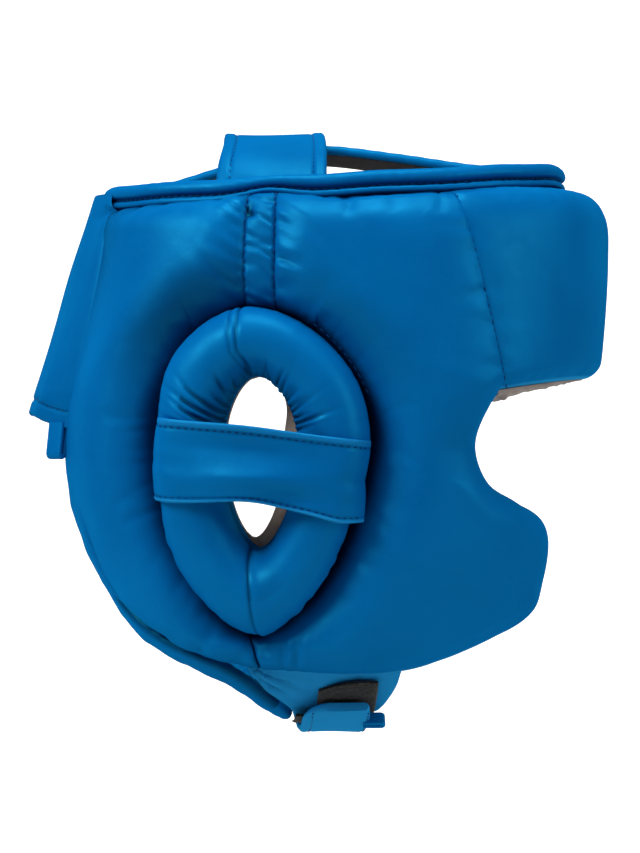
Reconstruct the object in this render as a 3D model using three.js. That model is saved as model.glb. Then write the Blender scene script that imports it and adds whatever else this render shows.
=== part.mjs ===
// A padded boxing head guard with cheek pads, ear pads, a crown strap cross, a back flap and a chin strap.
// The wearer faces +X, the wearer's left is +Y and +Z is up. The origin is the crown of the head, under
// the straps. Sizes are in millimetres.
import * as THREE from "three";

// Half sizes of a level section through the form that the pads are laid on, at each height.
const headForm = [
  { z: 15, front: 97, back: 84, half: 55 },
  { z: -10, front: 102, back: 88.5, half: 68 },
  { z: -40, front: 103, back: 91, half: 76 },
  { z: -70, front: 102, back: 95, half: 79 },
  { z: -110, front: 99, back: 102, half: 80 },
  { z: -150, front: 94, back: 98.5, half: 78 },
  { z: -185, front: 87, back: 86.5, half: 73 },
  { z: -215, front: 78, back: 75, half: 67 },
  { z: -250, front: 64, back: 60, half: 57 },
];

// Plan outline of the form: a squared oval. Places on it are given as the distance forward of the ear.
const plan = { front: 102, back: 98, half: 79, fullness: 2.3, steps: 1200 };

const ear = { x: -28, ahead: 1.6, z: -131, halfWidth: 44.5, halfHeight: 65.5, taper: 0.12, lean: 0.03 };
const earHole = { halfWidth: 14.5, halfHeight: 35, taper: 0.05, rise: 3 };
const earRoll = { crown: 25, edge: 5, fullness: 2.2, squeeze: 4, squeezeSpan: 18 };
const earStrap = { width: 32, thickness: 2.6, backZ: -126, frontZ: -135.5, lift: 0.9,
  frontInset: 0.7, backInset: 3.6 };

// Height of the crown rim's top edge, from the back of the head to the brow.
const rimLine = [
  { forward: -116, z: -11 },
  { forward: -60, z: -13 },
  { forward: -10, z: -13 },
  { forward: 30, z: -11.5 },
  { forward: 88, z: -6.6 },
  { forward: 130, z: -2.8 },
  { forward: 174, z: -1 },
];
// Cross section of the rim, from its foot: a flat welt with a rolled edge above it.
const rimProfile = [
  { out: 0.2, up: -10 },
  { out: 3.6, up: -10 },
  { out: 4.6, up: -8 },
  { out: 3.4, up: -6.4 },
  { out: 5.0, up: -4.6 },
  { out: 4.8, up: -1.6 },
  { out: 2.8, up: 0 },
  { out: 0.2, up: -1.2 },
];
const rimHeight = 10;
const seamGap = 0.5;

// Free edges of the side pad, front of the ear. Each row is a place on the edge with the pad's thickness
// there, the share of it left at the edge, and the width over which the pad rolls off.
const gusset = { back: -6.2, front: 5.6, thickness: 6, endShare: 0.3, endRoll: 15,
  uprightFrom: 0.9 };
const browSeam = { topForward: 78.5, footForward: 96.5, footZ: -98.5 };
const sideTopEdge = [
  { forward: 5.6, thick: 21, share: 0.24, roll: 15 },
  { forward: 40, thick: 23, share: 0.24, roll: 15 },
  { forward: 78.5, thick: 23, share: 0.3, roll: 15 },
];
const sideSeamEdge = [
  { forward: 78.5, z: -18, thick: 22, share: 0.35, roll: 13 },
  { forward: 82.5, z: -36, thick: 22, share: 0.96, roll: 4 },
  { forward: 96.5, z: -98.5, thick: 22, share: 0.9, roll: 5 },
];
const sideFaceEdge = [
  { forward: 96.5, z: -98.5, thick: 22, share: 0.6, roll: 8 },
  { forward: 86, z: -118, thick: 19, share: 0.4, roll: 13 },
  { forward: 106, z: -141, thick: 19, share: 0.45, roll: 13 },
  { forward: 126, z: -159, thick: 20, share: 0.5, roll: 13 },
  { forward: 129, z: -176, thick: 20, share: 0.5, roll: 13 },
  { forward: 113, z: -194.5, thick: 19, share: 0.45, roll: 13 },
  { forward: 62, z: -211, thick: 18, share: 0.4, roll: 14 },
  { forward: -8.5, z: -211, thick: 18, share: 0.4, roll: 14 },
];
// Free edges of the rear pad, behind the ear.
const rearLowEdge = [
  { forward: -9.5, z: -211, thick: 18, share: 0.4, roll: 14 },
  { forward: -34, z: -209.5, thick: 18, share: 0.4, roll: 14 },
  { forward: -59, z: -200, thick: 17, share: 0.4, roll: 14 },
  { forward: -82, z: -177, thick: 15, share: 0.45, roll: 13 },
  { forward: -90, z: -146, thick: 14, share: 0.5, roll: 11 },
];
const rearBackEdge = [
  { forward: -90, z: -146, thick: 14, share: 0.5, roll: 11 },
  { forward: -90, z: -70, thick: 11, share: 0.5, roll: 11 },
  { forward: -88, z: -23.5, thick: 7, share: 0.5, roll: 11 },
];
const rearTopEdge = [
  { forward: -88, thick: 7, share: 0.5, roll: 11 },
  { forward: -50, thick: 17, share: 0.26, roll: 14 },
  { forward: -6.2, thick: 20, share: 0.24, roll: 15 },
];
const earSideRoll = { share: 0.2, width: 17 };
const lowSeamRoll = { share: 0.75, width: 5 };

const brow = { thick: 22, topShare: 0.22, topRoll: 20, topFullness: 2.4, topDrop: 1.4, footShare: 0.68, footRoll: 7,
  footZ: -91, lip: 5 };
const lining = { gap: 0.6, thickness: 2, holeMargin: 1.2, seamInset: 1 };

// Crown straps: the long one runs from the brow to the back, the cross one over it from side to side.
const longStrap = { halfWidth: 21, thickness: 3, bead: 1.3, beadWidth: 5 };
const longStrapLine = [
  { x: 98.6, z: -8 },
  { x: 94, z: -5 },
  { x: 65, z: -2.8 },
  { x: 32, z: 1.6 },
  { x: 0, z: 4.8 },
  { x: -22, z: 2.6 },
  { x: -45, z: -5 },
  { x: -66, z: -11.5 },
  { x: -80, z: -14.6 },
  { x: -84, z: -19.6 },
];
const crossStrap = { x: -21.5, halfWidth: 22.4, thickness: 3 };
const crossStrapLine = [
  { y: -69.3, z: -21 },
  { y: -66.2, z: -12 },
  { y: -56, z: -2.5 },
  { y: -38, z: 6.5 },
  { y: -18, z: 11 },
  { y: 0, z: 11.6 },
];

// Back flap: rows run down its middle line from the rim to the hem.
const flap = { thickness: 3.4, hemThickness: 4.6 };
const flapRows = [
  { z: -13, x: -98, half: 31, bow: 100 },
  { z: -22, x: -100.4, half: 35, bow: 100 },
  { z: -60, x: -111.8, half: 45, bow: 102 },
  { z: -97, x: -123.2, half: 47, bow: 105 },
  { z: -99, x: -123.8, half: 47, bow: 106 },
  { z: -108, x: -126.4, half: 45, bow: 110 },
];
const backTab = { width: 9, length: 15, thickness: 4, y: -42, drop: 0.4, lean: -0.12 };

// Chin strap: the line it follows under the chin, with its fore and aft edges. It is the same on both sides.
const chinRows = [
  { y: 0, z: -234.5, back: -9, front: 20 },
  { y: 25, z: -232.6, back: -10.5, front: 21.5 },
  { y: 44, z: -228, back: -17, front: 25 },
  { y: 58, z: -221, back: -30, front: 28.5 },
  { y: 66.5, z: -214, back: -41.5, front: 30 },
];
const chin = { thickness: 3.6, rightEndY: 0, leftEndY: -57, endRound: 13, overlapStartY: 24, overlapFullY: 3,
  planReach: 80 };
const loopPatch = { outerY: 65, innerY: 8, back: -4, front: 20.5, offset: 2.5, thickness: 1.4 };
const hookPatch = { outerY: 53.5, innerY: 12, back: -10, front: 17, offset: 4.4, thickness: 1.2 };
const endStrapOffset = 6.1;
const chinTab = { width: 8, length: 6.5, thickness: 3.6, y: -46, turn: 0.5, reach: 0.4 };

// Binding that follows the rear pad's low edge and the aft edge of the chin strap.
const neckBinding = { outRadius: 3.1, edgeRadius: 4, out: 3.4, gap: 0.9, sides: 8, stations: 18 };

const leather = new THREE.MeshStandardMaterial({ color: 0x0063ad, roughness: 0.5, metalness: 0 });
const strapLeather = new THREE.MeshStandardMaterial({ color: 0x0069b4, roughness: 0.5, metalness: 0 });
const liningCloth = new THREE.MeshStandardMaterial({ color: 0x6f6259, roughness: 0.9, metalness: 0 });
const hookAndLoop = new THREE.MeshStandardMaterial({ color: 0x121314, roughness: 0.95, metalness: 0 });

const guard = new THREE.Group();

// Value of one column of a table at a place between its rows, on a smooth curve through them.
function columnAt(rows, key, at, column) {
  const rising = rows[0][key] < rows[rows.length - 1][key];
  const ordered = rising ? rows : [...rows].reverse();
  const last = ordered.length - 1;
  const place = THREE.MathUtils.clamp(at, ordered[0][key], ordered[last][key]);
  let i = 0;
  while (i < last - 1 && place > ordered[i + 1][key]) i += 1;
  const slopeAt = (j) => {
    const before = ordered[Math.max(j - 1, 0)];
    const after = ordered[Math.min(j + 1, last)];
    return (after[column] - before[column]) / (after[key] - before[key]);
  };
  const span = ordered[i + 1][key] - ordered[i][key];
  const t = (place - ordered[i][key]) / span;
  const rise = ordered[i + 1][column] - ordered[i][column];
  const bend = span * ((1 - t) * slopeAt(i) - t * slopeAt(i + 1)) - (1 - 2 * t) * rise;
  return ordered[i][column] + t * rise + t * (1 - t) * bend;
}

// Points along a table's places, with every column carried along. Lengths are measured row to row.
function trace(rows, count) {
  let along = 0;
  const measured = rows.map((row, i) => {
    if (i > 0) along += Math.hypot(row.forward - rows[i - 1].forward, row.z - rows[i - 1].z);
    return { ...row, along };
  });
  return Array.from({ length: count + 1 }, (_, i) => {
    const at = (along * i) / count;
    const point = {};
    for (const column of Object.keys(rows[0])) point[column] = columnAt(measured, "along", at, column);
    return point;
  });
}

// Plan outline from the brow's middle round one side to the back's middle, with its length.
const outline = [];
for (let i = 0; i <= plan.steps; i += 1) {
  const turn = (Math.PI * i) / plan.steps;
  const depth = Math.cos(turn);
  const x = Math.sign(depth) * Math.abs(depth) ** (2 / plan.fullness) * (depth > 0 ? plan.front : plan.back);
  const y = Math.sin(turn) ** (2 / plan.fullness) * plan.half;
  const previous = outline[i - 1];
  const along = previous ? previous.along + Math.hypot(x - previous.x, y - previous.y) : 0;
  outline.push({ x, y, along });
}
const earAlong = outline.find((point) => point.x <= ear.x).along;
const browMiddle = earAlong;
const backMiddle = earAlong - outline[plan.steps].along;

// Place on the plan outline at a distance forward of the ear.
function planAt(forward) {
  const along = THREE.MathUtils.clamp(earAlong - forward, 0, outline[plan.steps].along);
  let low = 0;
  let high = plan.steps;
  while (high - low > 1) {
    const middle = (low + high) >> 1;
    if (outline[middle].along > along) high = middle;
    else low = middle;
  }
  const share = (along - outline[low].along) / (outline[high].along - outline[low].along);
  return {
    x: THREE.MathUtils.lerp(outline[low].x, outline[high].x, share),
    y: THREE.MathUtils.lerp(outline[low].y, outline[high].y, share),
  };
}

// How far the plan outline has narrowed at a distance fore or aft, as a share of its full width.
function planNarrowing(x, reach) {
  return (1 - Math.min(Math.abs(x) / reach, 1) ** plan.fullness) ** (1 / plan.fullness);
}

// Point of the form on the wearer's right side.
function formPoint(forward, z) {
  const place = planAt(forward);
  const front = columnAt(headForm, "z", z, "front");
  const back = columnAt(headForm, "z", z, "back");
  const half = columnAt(headForm, "z", z, "half");
  const x = place.x > 0 ? (place.x * front) / plan.front : (place.x * back) / plan.back;
  return new THREE.Vector3(x, (-place.y * half) / plan.half, z);
}

// Point at a distance out of the form, along its normal.
function point(forward, z, out) {
  const step = 1;
  const inside = THREE.MathUtils.clamp(forward, backMiddle + step, browMiddle - step);
  const across = formPoint(inside + step, z).sub(formPoint(inside - step, z));
  const upward = formPoint(inside, z + step).sub(formPoint(inside, z - step));
  const normal = upward.cross(across).normalize();
  return formPoint(forward, z).addScaledVector(normal, -out);
}

// Share of full height at a distance from an edge, over a rounded roll-off.
function rollOff(distance, width, share, fullness = 2) {
  const short = 1 - THREE.MathUtils.clamp(distance / width, 0, 1);
  return share + (1 - share) * (1 - short ** fullness) ** (1 / fullness);
}

// Distances from 0 to 1, close together at both ends.
function endCrowded(count) {
  return Array.from({ length: count }, (_, i) => 0.5 - 0.5 * Math.cos((Math.PI * i) / (count - 1)));
}

// Polar reach of an egg whose upper part is the wider one.
function eggReach(angle, halfWidth, halfHeight, taper) {
  const across = Math.cos(angle);
  const upward = Math.sin(angle);
  let reach = halfWidth;
  for (let i = 0; i < 12; i += 1) {
    const wide = halfWidth * (1 + (taper * reach * upward) / halfHeight);
    reach = 1 / Math.hypot(across / wide, upward / halfHeight);
  }
  return reach;
}
const earReach = (angle) => eggReach(angle, ear.halfWidth, ear.halfHeight, ear.taper);
function holeReach(angle) {
  const reach = eggReach(angle, earHole.halfWidth, earHole.halfHeight, earHole.taper);
  return reach + earHole.rise * Math.sin(angle);
}

// Place on the head at a polar angle and reach round the ear's middle, and the way back.
function earPlace(angle, reach) {
  const up = reach * Math.sin(angle);
  return { forward: ear.ahead + reach * Math.cos(angle) + ear.lean * up, z: ear.z + up };
}
function earPolar(place) {
  const up = place.z - ear.z;
  const across = place.forward - ear.ahead - ear.lean * up;
  return { angle: Math.atan2(up, across), reach: Math.hypot(up, across) };
}

const rimTop = (forward) => columnAt(rimLine, "forward", forward, "z");
const padTop = (forward) => rimTop(forward) - rimHeight - seamGap;

// Closed solid through loops of points: a ring if closed, else with a flat cap at each end.
function loft(loops, closed = false) {
  const count = loops[0].length;
  const triangles = [];
  const bands = closed ? loops.length : loops.length - 1;
  for (let i = 0; i < bands; i += 1) {
    const here = loops[i];
    const next = loops[(i + 1) % loops.length];
    for (let j = 0; j < count; j += 1) {
      const k = (j + 1) % count;
      triangles.push([here[j], next[j], next[k]], [here[j], next[k], here[k]]);
    }
  }
  if (!closed) {
    triangles.push(...cap(loops[0]), ...cap(loops[loops.length - 1]).map(([a, b, c]) => [a, c, b]));
  }
  const volume = triangles.reduce((sum, [a, b, c]) => sum + a.dot(b.clone().cross(c)), 0);
  const facing = volume < 0 ? triangles.map(([a, b, c]) => [a, c, b]) : triangles;
  const geometry = new THREE.BufferGeometry().setFromPoints(facing.flat());
  geometry.computeVertexNormals();
  return geometry;
}

// Triangles over one loop, worked out on the plane that fits it best.
function cap(loop) {
  const middle = loop.reduce((sum, p) => sum.add(p), new THREE.Vector3()).divideScalar(loop.length);
  const normal = new THREE.Vector3();
  loop.forEach((p, i) => {
    const q = loop[(i + 1) % loop.length];
    normal.add(p.clone().sub(middle).cross(q.clone().sub(middle)));
  });
  normal.normalize();
  const right = loop[0].clone().sub(middle).projectOnPlane(normal).normalize();
  const up = normal.clone().cross(right);
  const flat = loop.map((p) => new THREE.Vector2(p.clone().sub(middle).dot(right), p.clone().sub(middle).dot(up)));
  return THREE.ShapeUtils.triangulateShape(flat, []).map((face) => face.map((i) => loop[i]));
}

const mirrored = (loops) => loops.map((loop) => loop.map((p) => new THREE.Vector3(p.x, -p.y, p.z)));

function addPiece(name, loops, material, closed = false) {
  const mesh = new THREE.Mesh(loft(loops, closed), material);
  mesh.name = name;
  guard.add(mesh);
}
function addPair(name, loops, material, closed = false) {
  addPiece(`${name}_right`, loops, material, closed);
  addPiece(`${name}_left`, mirrored(loops), material, closed);
}

// Section of a side or rear pad: from the ear's seam straight out to a place on the pad's free edge.
const outerShares = endCrowded(11);
const innerShares = [1, 0.66, 0.33, 0];
function padLoop(edge, ends) {
  const from = seamPlace(edge);
  const length = Math.hypot(edge.forward - from.forward, edge.z - from.z);
  const placeAt = (share) => ({
    forward: THREE.MathUtils.lerp(from.forward, edge.forward, share),
    z: THREE.MathUtils.lerp(from.z, edge.z, share),
  });
  const shell = (share, height) => point(placeAt(share).forward, placeAt(share).z, height);
  const height = (share) => {
    let left = rollOff(share * length, earSideRoll.width, earSideRoll.share);
    left *= rollOff((1 - share) * length, edge.roll, edge.share);
    for (const end of ends) left *= rollOff(distanceTo(end, placeAt(share)), end.width, end.share);
    return edge.thick * left;
  };
  return [...outerShares.map((s) => shell(s, height(s))), ...innerShares.map((s) => shell(s, 0))];
}
// Where a section leaves the ear's seam: straight towards the ear's middle, but upright beside the gusset.
function seamPlace(edge) {
  const { angle } = earPolar(edge);
  const upright = THREE.MathUtils.smoothstep(Math.cos(angle - Math.PI / 2), gusset.uprightFrom, 1);
  const aside = Math.asin(THREE.MathUtils.clamp((edge.forward - ear.ahead - ear.lean * ear.halfHeight) / ear.halfHeight, -1, 1));
  const turned = THREE.MathUtils.lerp(angle, Math.PI / 2 - aside, upright);
  return earPlace(turned, earReach(turned) + seamGap);
}
// Distance from a place to the straight end seam of a pad.
function distanceTo(end, place) {
  const run = { forward: end.to.forward - end.from.forward, z: end.to.z - end.from.z };
  const off = { forward: place.forward - end.from.forward, z: place.z - end.from.z };
  const share = (run.forward * off.forward + run.z * off.z) / (run.forward ** 2 + run.z ** 2);
  const near = THREE.MathUtils.clamp(share, 0, 1);
  return Math.hypot(off.forward - near * run.forward, off.z - near * run.z);
}

// The rim sets the height of the pads' top edges.
const underRim = (rows, count) => trace(rows.map((row) => ({ ...row, z: padTop(row.forward) })), count)
  .map((row) => ({ ...row, z: padTop(row.forward) }));
const sideEdge = [
  ...underRim(sideTopEdge, 8).slice(0, -1),
  ...trace(sideSeamEdge.map((row, i) => (i ? row : { ...row, z: padTop(row.forward) })), 6).slice(0, -1),
  ...trace(sideFaceEdge, 20),
];
const rearEdge = [
  ...trace(rearLowEdge, 10).slice(0, -1),
  ...trace(rearBackEdge.map((row, i) => (i < 2 ? row : { ...row, z: padTop(row.forward) })), 6).slice(0, -1),
  ...underRim(rearTopEdge, 8),
];
const endAt = (edge, width, share) => ({ from: seamPlace(edge), to: edge, width, share });
const sideEnds = [
  endAt(sideEdge[0], gusset.endRoll, gusset.endShare),
  endAt(sideEdge[sideEdge.length - 1], lowSeamRoll.width, lowSeamRoll.share),
];
const rearEnds = [
  endAt(rearEdge[0], lowSeamRoll.width, lowSeamRoll.share),
  endAt(rearEdge[rearEdge.length - 1], gusset.endRoll, gusset.endShare),
];
addPair("side_pad", sideEdge.map((edge) => padLoop(edge, sideEnds)), leather);
addPair("rear_pad", rearEdge.map((edge) => padLoop(edge, rearEnds)), leather);

// Gathered strip between the side and rear pads, above the ear.
function gussetLoop(z) {
  const inset = 0.6;
  const left = gusset.back + inset;
  const right = gusset.front - inset;
  const middle = (left + right) / 2;
  return [
    point(left, z, gusset.thickness * 0.7),
    point(middle, z, gusset.thickness),
    point(right, z, gusset.thickness * 0.7),
    point(right, z, 0.3),
    point(left, z, 0.3),
  ];
}
const gussetFoot = ear.z + ear.halfHeight + 1.2;
const gussetHead = padTop(0) - 0.2;
const gussetStations = Array.from({ length: 7 }, (_, i) => THREE.MathUtils.lerp(gussetFoot, gussetHead, i / 6));
addPair("temple_gusset", gussetStations.map(gussetLoop), leather);

// Forehead pad: level stations from one brow seam to the other, each section straight down the pad.
function browFoot(forward) {
  const fromMiddle = (browMiddle - forward) / (browMiddle - browSeam.footForward);
  return brow.footZ + (browSeam.footZ - brow.footZ) * fromMiddle ** 2;
}
function browPlaces(share, inset) {
  const topForward = THREE.MathUtils.lerp(browSeam.topForward + inset, browMiddle, share);
  const footForward = THREE.MathUtils.lerp(browSeam.footForward + inset, browMiddle, share);
  return { topForward, footForward, top: padTop(topForward) - brow.topDrop * share, foot: browFoot(footForward) };
}
function browLoop(share) {
  const { topForward, footForward, top, foot } = browPlaces(share, seamGap);
  const tall = top - foot;
  const shell = (down, out) => point(
    THREE.MathUtils.lerp(topForward, footForward, Math.min(down, 1)),
    top - tall * down,
    out,
  );
  const height = (down) => brow.thick
    * rollOff(down * tall, brow.topRoll, brow.topShare, brow.topFullness)
    * rollOff((1 - down) * tall, brow.footRoll, brow.footShare);
  const lipDown = 1 + (brow.lip - lining.thickness - seamGap) / tall;
  return [
    ...outerShares.map((s) => shell(s, height(s))),
    shell(lipDown, 0.2),
    ...innerShares.slice(1).map((s) => shell(s, 0)),
  ];
}
// The pad's lining runs down its inner face and out along its foot.
function browLiningLoop(share) {
  const { topForward, footForward, top, foot } = browPlaces(share, lining.seamInset);
  const tall = top - foot;
  const shell = (down, out) => point(
    THREE.MathUtils.lerp(topForward, footForward, THREE.MathUtils.clamp(down, 0, 1)),
    top - tall * down,
    out,
  );
  const far = -lining.gap - lining.thickness;
  const lipFoot = 1 + brow.lip / tall;
  const edgeOut = brow.thick * brow.footShare - 1;
  return [
    ...[0, 0.33, 0.66, 1].map((s) => shell(s, -lining.gap)),
    shell(1 + (brow.lip - lining.thickness) / tall, -lining.gap),
    shell(1 + seamGap / tall, edgeOut),
    shell(1 + (seamGap + lining.thickness) / tall, edgeOut),
    shell(lipFoot + 0.01, -lining.gap),
    ...[1, 0.66, 0.33, 0].map((s) => shell(s, far)),
  ];
}
function bothSides(loopAt, count) {
  const right = Array.from({ length: count }, (_, i) => loopAt(i / count));
  return [...right, loopAt(1), ...mirrored(right).reverse()];
}
addPiece("forehead_pad", bothSides(browLoop, 9), leather);
addPiece("forehead_lining", bothSides(browLiningLoop, 9), liningCloth);

// Lining of each side, behind the side, rear and ear pads, with the ear hole through it.
function liningLoop(edge) {
  const { angle } = earPolar(edge);
  const from = seamPlace(edge);
  const hole = earPlace(angle, holeReach(angle) - lining.holeMargin);
  const padPlaces = [...innerShares].reverse().map((share) => ({
    forward: THREE.MathUtils.lerp(from.forward, edge.forward, share),
    z: THREE.MathUtils.lerp(from.z, edge.z, share),
  }));
  const face = (out) => [hole, ...padPlaces].map((at) => point(at.forward, at.z, out));
  return [...face(-lining.gap).reverse(), ...face(-lining.gap - lining.thickness)];
}
addPair("side_lining", [...sideEdge, ...rearEdge].map(liningLoop), liningCloth, true);

// Ear pad: a stuffed ring, pressed in a little where the ear strap passes over its rim.
const strapZ = (forward) => THREE.MathUtils.lerp(
  earStrap.backZ,
  earStrap.frontZ,
  (forward + ear.halfWidth) / (2 * ear.halfWidth),
);
function ringEdge(angle) {
  const reach = earReach(angle) - seamGap;
  const at = earPlace(angle, reach);
  const away = Math.abs(at.z - strapZ(at.forward)) / earStrap.width;
  const press = THREE.MathUtils.smoothstep(0.5 + earRoll.squeezeSpan / earStrap.width - away, 0, 0.5);
  const squeeze = Math.cos(angle) < 0 ? earRoll.squeeze + earStrap.backInset : earRoll.squeeze;
  return reach - squeeze * press;
}
function ringHeight(angle, reach) {
  const inner = holeReach(angle);
  const share = THREE.MathUtils.clamp((reach - inner) / (ringEdge(angle) - inner), 0, 1);
  const dome = (1 - Math.abs(2 * share - 1) ** earRoll.fullness) ** (1 / earRoll.fullness);
  return earRoll.edge + (earRoll.crown - earRoll.edge) * dome;
}
function ringLoop(angle) {
  const inner = holeReach(angle);
  const edge = ringEdge(angle);
  const onRing = (share, out) => {
    const at = earPlace(angle, THREE.MathUtils.lerp(inner, edge, share));
    return point(at.forward, at.z, out);
  };
  const dome = endCrowded(8).map((s) => onRing(s, ringHeight(angle, THREE.MathUtils.lerp(inner, edge, s))));
  return [...dome, onRing(1, 0.3), onRing(0, 0.3)];
}
const ringAngles = Array.from({ length: 32 }, (_, i) => (2 * Math.PI * i) / 32);
addPair("ear_pad", ringAngles.map(ringLoop), leather, true);

// Ear strap: it bridges the ear hole and follows the ring down to the seam at both ends.
function strapOut(forward, z, rim, crown) {
  const { angle, reach } = earPolar({ forward, z });
  const inner = holeReach(angle);
  const edge = earReach(angle) - rim;
  const share = THREE.MathUtils.clamp((reach - inner) / (edge - inner), 0.5, 1);
  const dome = (1 - (2 * share - 1) ** earRoll.fullness) ** (1 / earRoll.fullness);
  return earRoll.edge + 1 + (crown - earRoll.edge - 1) * dome;
}
function strapReach(side, z, rim) {
  let forward = side * ear.halfWidth;
  for (let i = 0; i < 20; i += 1) {
    const { angle, reach } = earPolar({ forward, z });
    forward += side * (earReach(angle) - rim - reach);
  }
  return forward;
}
function strapLoop(share) {
  const across = [-0.5, -0.17, 0.17, 0.5];
  const face = (under, crown) => across.map((a) => {
    const lean = (earStrap.frontZ - earStrap.backZ) / (2 * ear.halfWidth);
    const edgeZ = (side) => strapZ(side * ear.halfWidth) + a * earStrap.width;
    const back = strapReach(-1, edgeZ(-1), earStrap.backInset + under);
    const front = strapReach(1, edgeZ(1), earStrap.frontInset + under);
    const forward = THREE.MathUtils.lerp(back, front, share);
    const rim = forward < 0 ? earStrap.backInset : earStrap.frontInset;
    const z = edgeZ(-1) + lean * (forward + ear.halfWidth);
    return point(forward, z, strapOut(forward, z, rim + under, crown));
  });
  const underside = face(earStrap.thickness, earRoll.crown + earStrap.lift);
  const top = face(0, earRoll.crown + earStrap.lift + earStrap.thickness);
  return [...underside, ...top.reverse()];
}
addPair("ear_strap", endCrowded(17).map(strapLoop), strapLeather);

// Crown rim: one bound edge all round the opening over the crown.
function rimLoop(forward) {
  const top = rimTop(forward);
  return rimProfile.map((corner) => point(forward, top + corner.up, corner.out));
}
const rimSteps = 25;
const rimSide = Array.from({ length: rimSteps + 1 }, (_, i) => rimLoop(
  THREE.MathUtils.lerp(browMiddle, backMiddle, i / rimSteps),
));
const onMiddle = (loop) => loop.map((p) => new THREE.Vector3(p.x, 0, p.z));
const rimRight = rimSide.map((loop, i) => (i === 0 || i === rimSteps ? onMiddle(loop) : loop));
addPiece("crown_rim", [...rimRight, ...mirrored(rimRight.slice(1, -1)).reverse()], strapLeather, true);

// Crown straps.
function alongLine(rows, first, count) {
  const curve = new THREE.SplineCurve(rows.map((row) => new THREE.Vector2(row[first], row.z)));
  return Array.from({ length: count + 1 }, (_, i) => {
    const tangent = curve.getTangentAt(i / count);
    return { at: curve.getPointAt(i / count), normal: new THREE.Vector2(-tangent.y, tangent.x) };
  });
}
function longStrapLoop({ at, normal }) {
  const half = longStrap.thickness / 2;
  const bead = half + longStrap.bead;
  const edge = longStrap.halfWidth;
  const flat = edge - longStrap.beadWidth;
  const section = [[-edge, -half], [-flat, -half], [flat, -half], [edge, -half], [edge, bead], [flat, bead],
    [flat - 1, half], [1 - flat, half], [-flat, bead], [-edge, bead]];
  return section.map(([y, up]) => {
    const x = at.x - normal.x * up;
    const follow = THREE.MathUtils.lerp(1, planNarrowing(y, columnAt(headForm, "z", at.y, "half")), Math.abs(x) / plan.front);
    return new THREE.Vector3(x * follow, y, at.y - normal.y * up);
  });
}
addPiece("crown_strap_long", alongLine(longStrapLine, "x", 16).map(longStrapLoop), strapLeather);
function crossStrapLoop({ at, normal }) {
  const half = crossStrap.thickness / 2;
  const edge = crossStrap.halfWidth;
  const section = [[-edge, -half], [edge, -half], [edge, half], [-edge, half]];
  return section.map(([x, up]) => {
    const y = at.x + normal.x * up;
    const foot = THREE.MathUtils.clamp(Math.abs(y) / Math.abs(crossStrapLine[0].y), 0, 1);
    const follow = THREE.MathUtils.lerp(1, planNarrowing(crossStrap.x + x, columnAt(headForm, "z", at.y, "back")), foot);
    return new THREE.Vector3(crossStrap.x + x, y * follow, at.y + normal.y * up);
  });
}
const crossLine = [
  ...crossStrapLine,
  ...crossStrapLine.slice(0, -1).reverse().map((row) => ({ y: -row.y, z: row.z })),
];
addPiece("crown_strap_cross", alongLine(crossLine, "y", 24).map(crossStrapLoop), strapLeather);

// Back flap and the pull tab on its hem.
function flapPlace(z, y) {
  return columnAt(flapRows, "z", z, "x") + (y * y) / (2 * columnAt(flapRows, "z", z, "bow"));
}
function flapLoop(z) {
  const half = columnAt(flapRows, "z", z, "half");
  const thick = z < flapRows[3].z ? flap.hemThickness : flap.thickness;
  const across = [-1, -0.66, -0.33, 0, 0.33, 0.66, 1].map((share) => share * half);
  const face = (out) => across.map((y) => new THREE.Vector3(flapPlace(z, y) - out, y, z));
  return [...face(0), ...face(-thick).reverse()];
}
const flapLevels = [-13, -22, -41, -60, -79, -97, -99, -108];
addPiece("back_flap", flapLevels.map(flapLoop), leather);

function tabGeometry(tab) {
  const shape = new THREE.Shape();
  const half = tab.thickness / 2;
  shape.moveTo(-half, 0);
  shape.lineTo(-half, half - tab.length);
  shape.absarc(0, half - tab.length, half, Math.PI, 2 * Math.PI);
  shape.lineTo(half, 0);
  const geometry = new THREE.ExtrudeGeometry(shape, { depth: tab.width, bevelEnabled: false, curveSegments: 6 });
  return geometry.translate(0, 0, -tab.width / 2);
}
const backTabMesh = new THREE.Mesh(tabGeometry(backTab), strapLeather);
backTabMesh.name = "back_pull_tab";
const hem = flapRows[flapRows.length - 1];
backTabMesh.position.set(flapPlace(hem.z, backTab.y) + flap.hemThickness / 2, backTab.y, hem.z - backTab.drop);
backTabMesh.rotation.set(Math.PI / 2, backTab.lean, 0);
guard.add(backTabMesh);

// Chin strap: its line is worked out across the head, then swept forward and back to its edges.
function chinPoint(x, y, offset) {
  const away = Math.abs(y);
  const step = 0.5;
  const height = (d) => columnAt(chinRows, "y", Math.abs(d), "z");
  const slope = (height(away + step) - height(Math.max(away - step, 0))) / (step + Math.min(step, away));
  const scale = 1 / Math.hypot(slope, 1);
  const outer = away + slope * scale * offset;
  const z = height(away) - scale * offset;
  const reach = chinRows[chinRows.length - 1].y;
  const follow = THREE.MathUtils.lerp(1, planNarrowing(x, chin.planReach), THREE.MathUtils.clamp(away / reach, 0, 1));
  return new THREE.Vector3(x, Math.sign(y) * outer * follow, z);
}
function chinLoop(y, back, front, low, high) {
  const places = [0, 0.33, 0.67, 1].map((share) => THREE.MathUtils.lerp(back, front, share));
  const face = (offset) => places.map((x) => chinPoint(x, y, offset));
  return [...face(low), ...face(high).reverse()];
}
const chinEdge = (y, column) => columnAt(chinRows, "y", Math.abs(y), column);
const span = (from, to, count) => Array.from({ length: count + 1 }, (_, i) => THREE.MathUtils.lerp(from, to, i / count));
const chinHalf = chin.thickness / 2;
const chinReach = chinRows[chinRows.length - 1].y;
addPiece(
  "chin_strap_right",
  span(-chinReach, -chin.rightEndY - 0.01, 12)
    .map((y) => chinLoop(y, chinEdge(y, "back"), chinEdge(y, "front"), -chinHalf, chinHalf)),
  leather,
);
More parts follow.
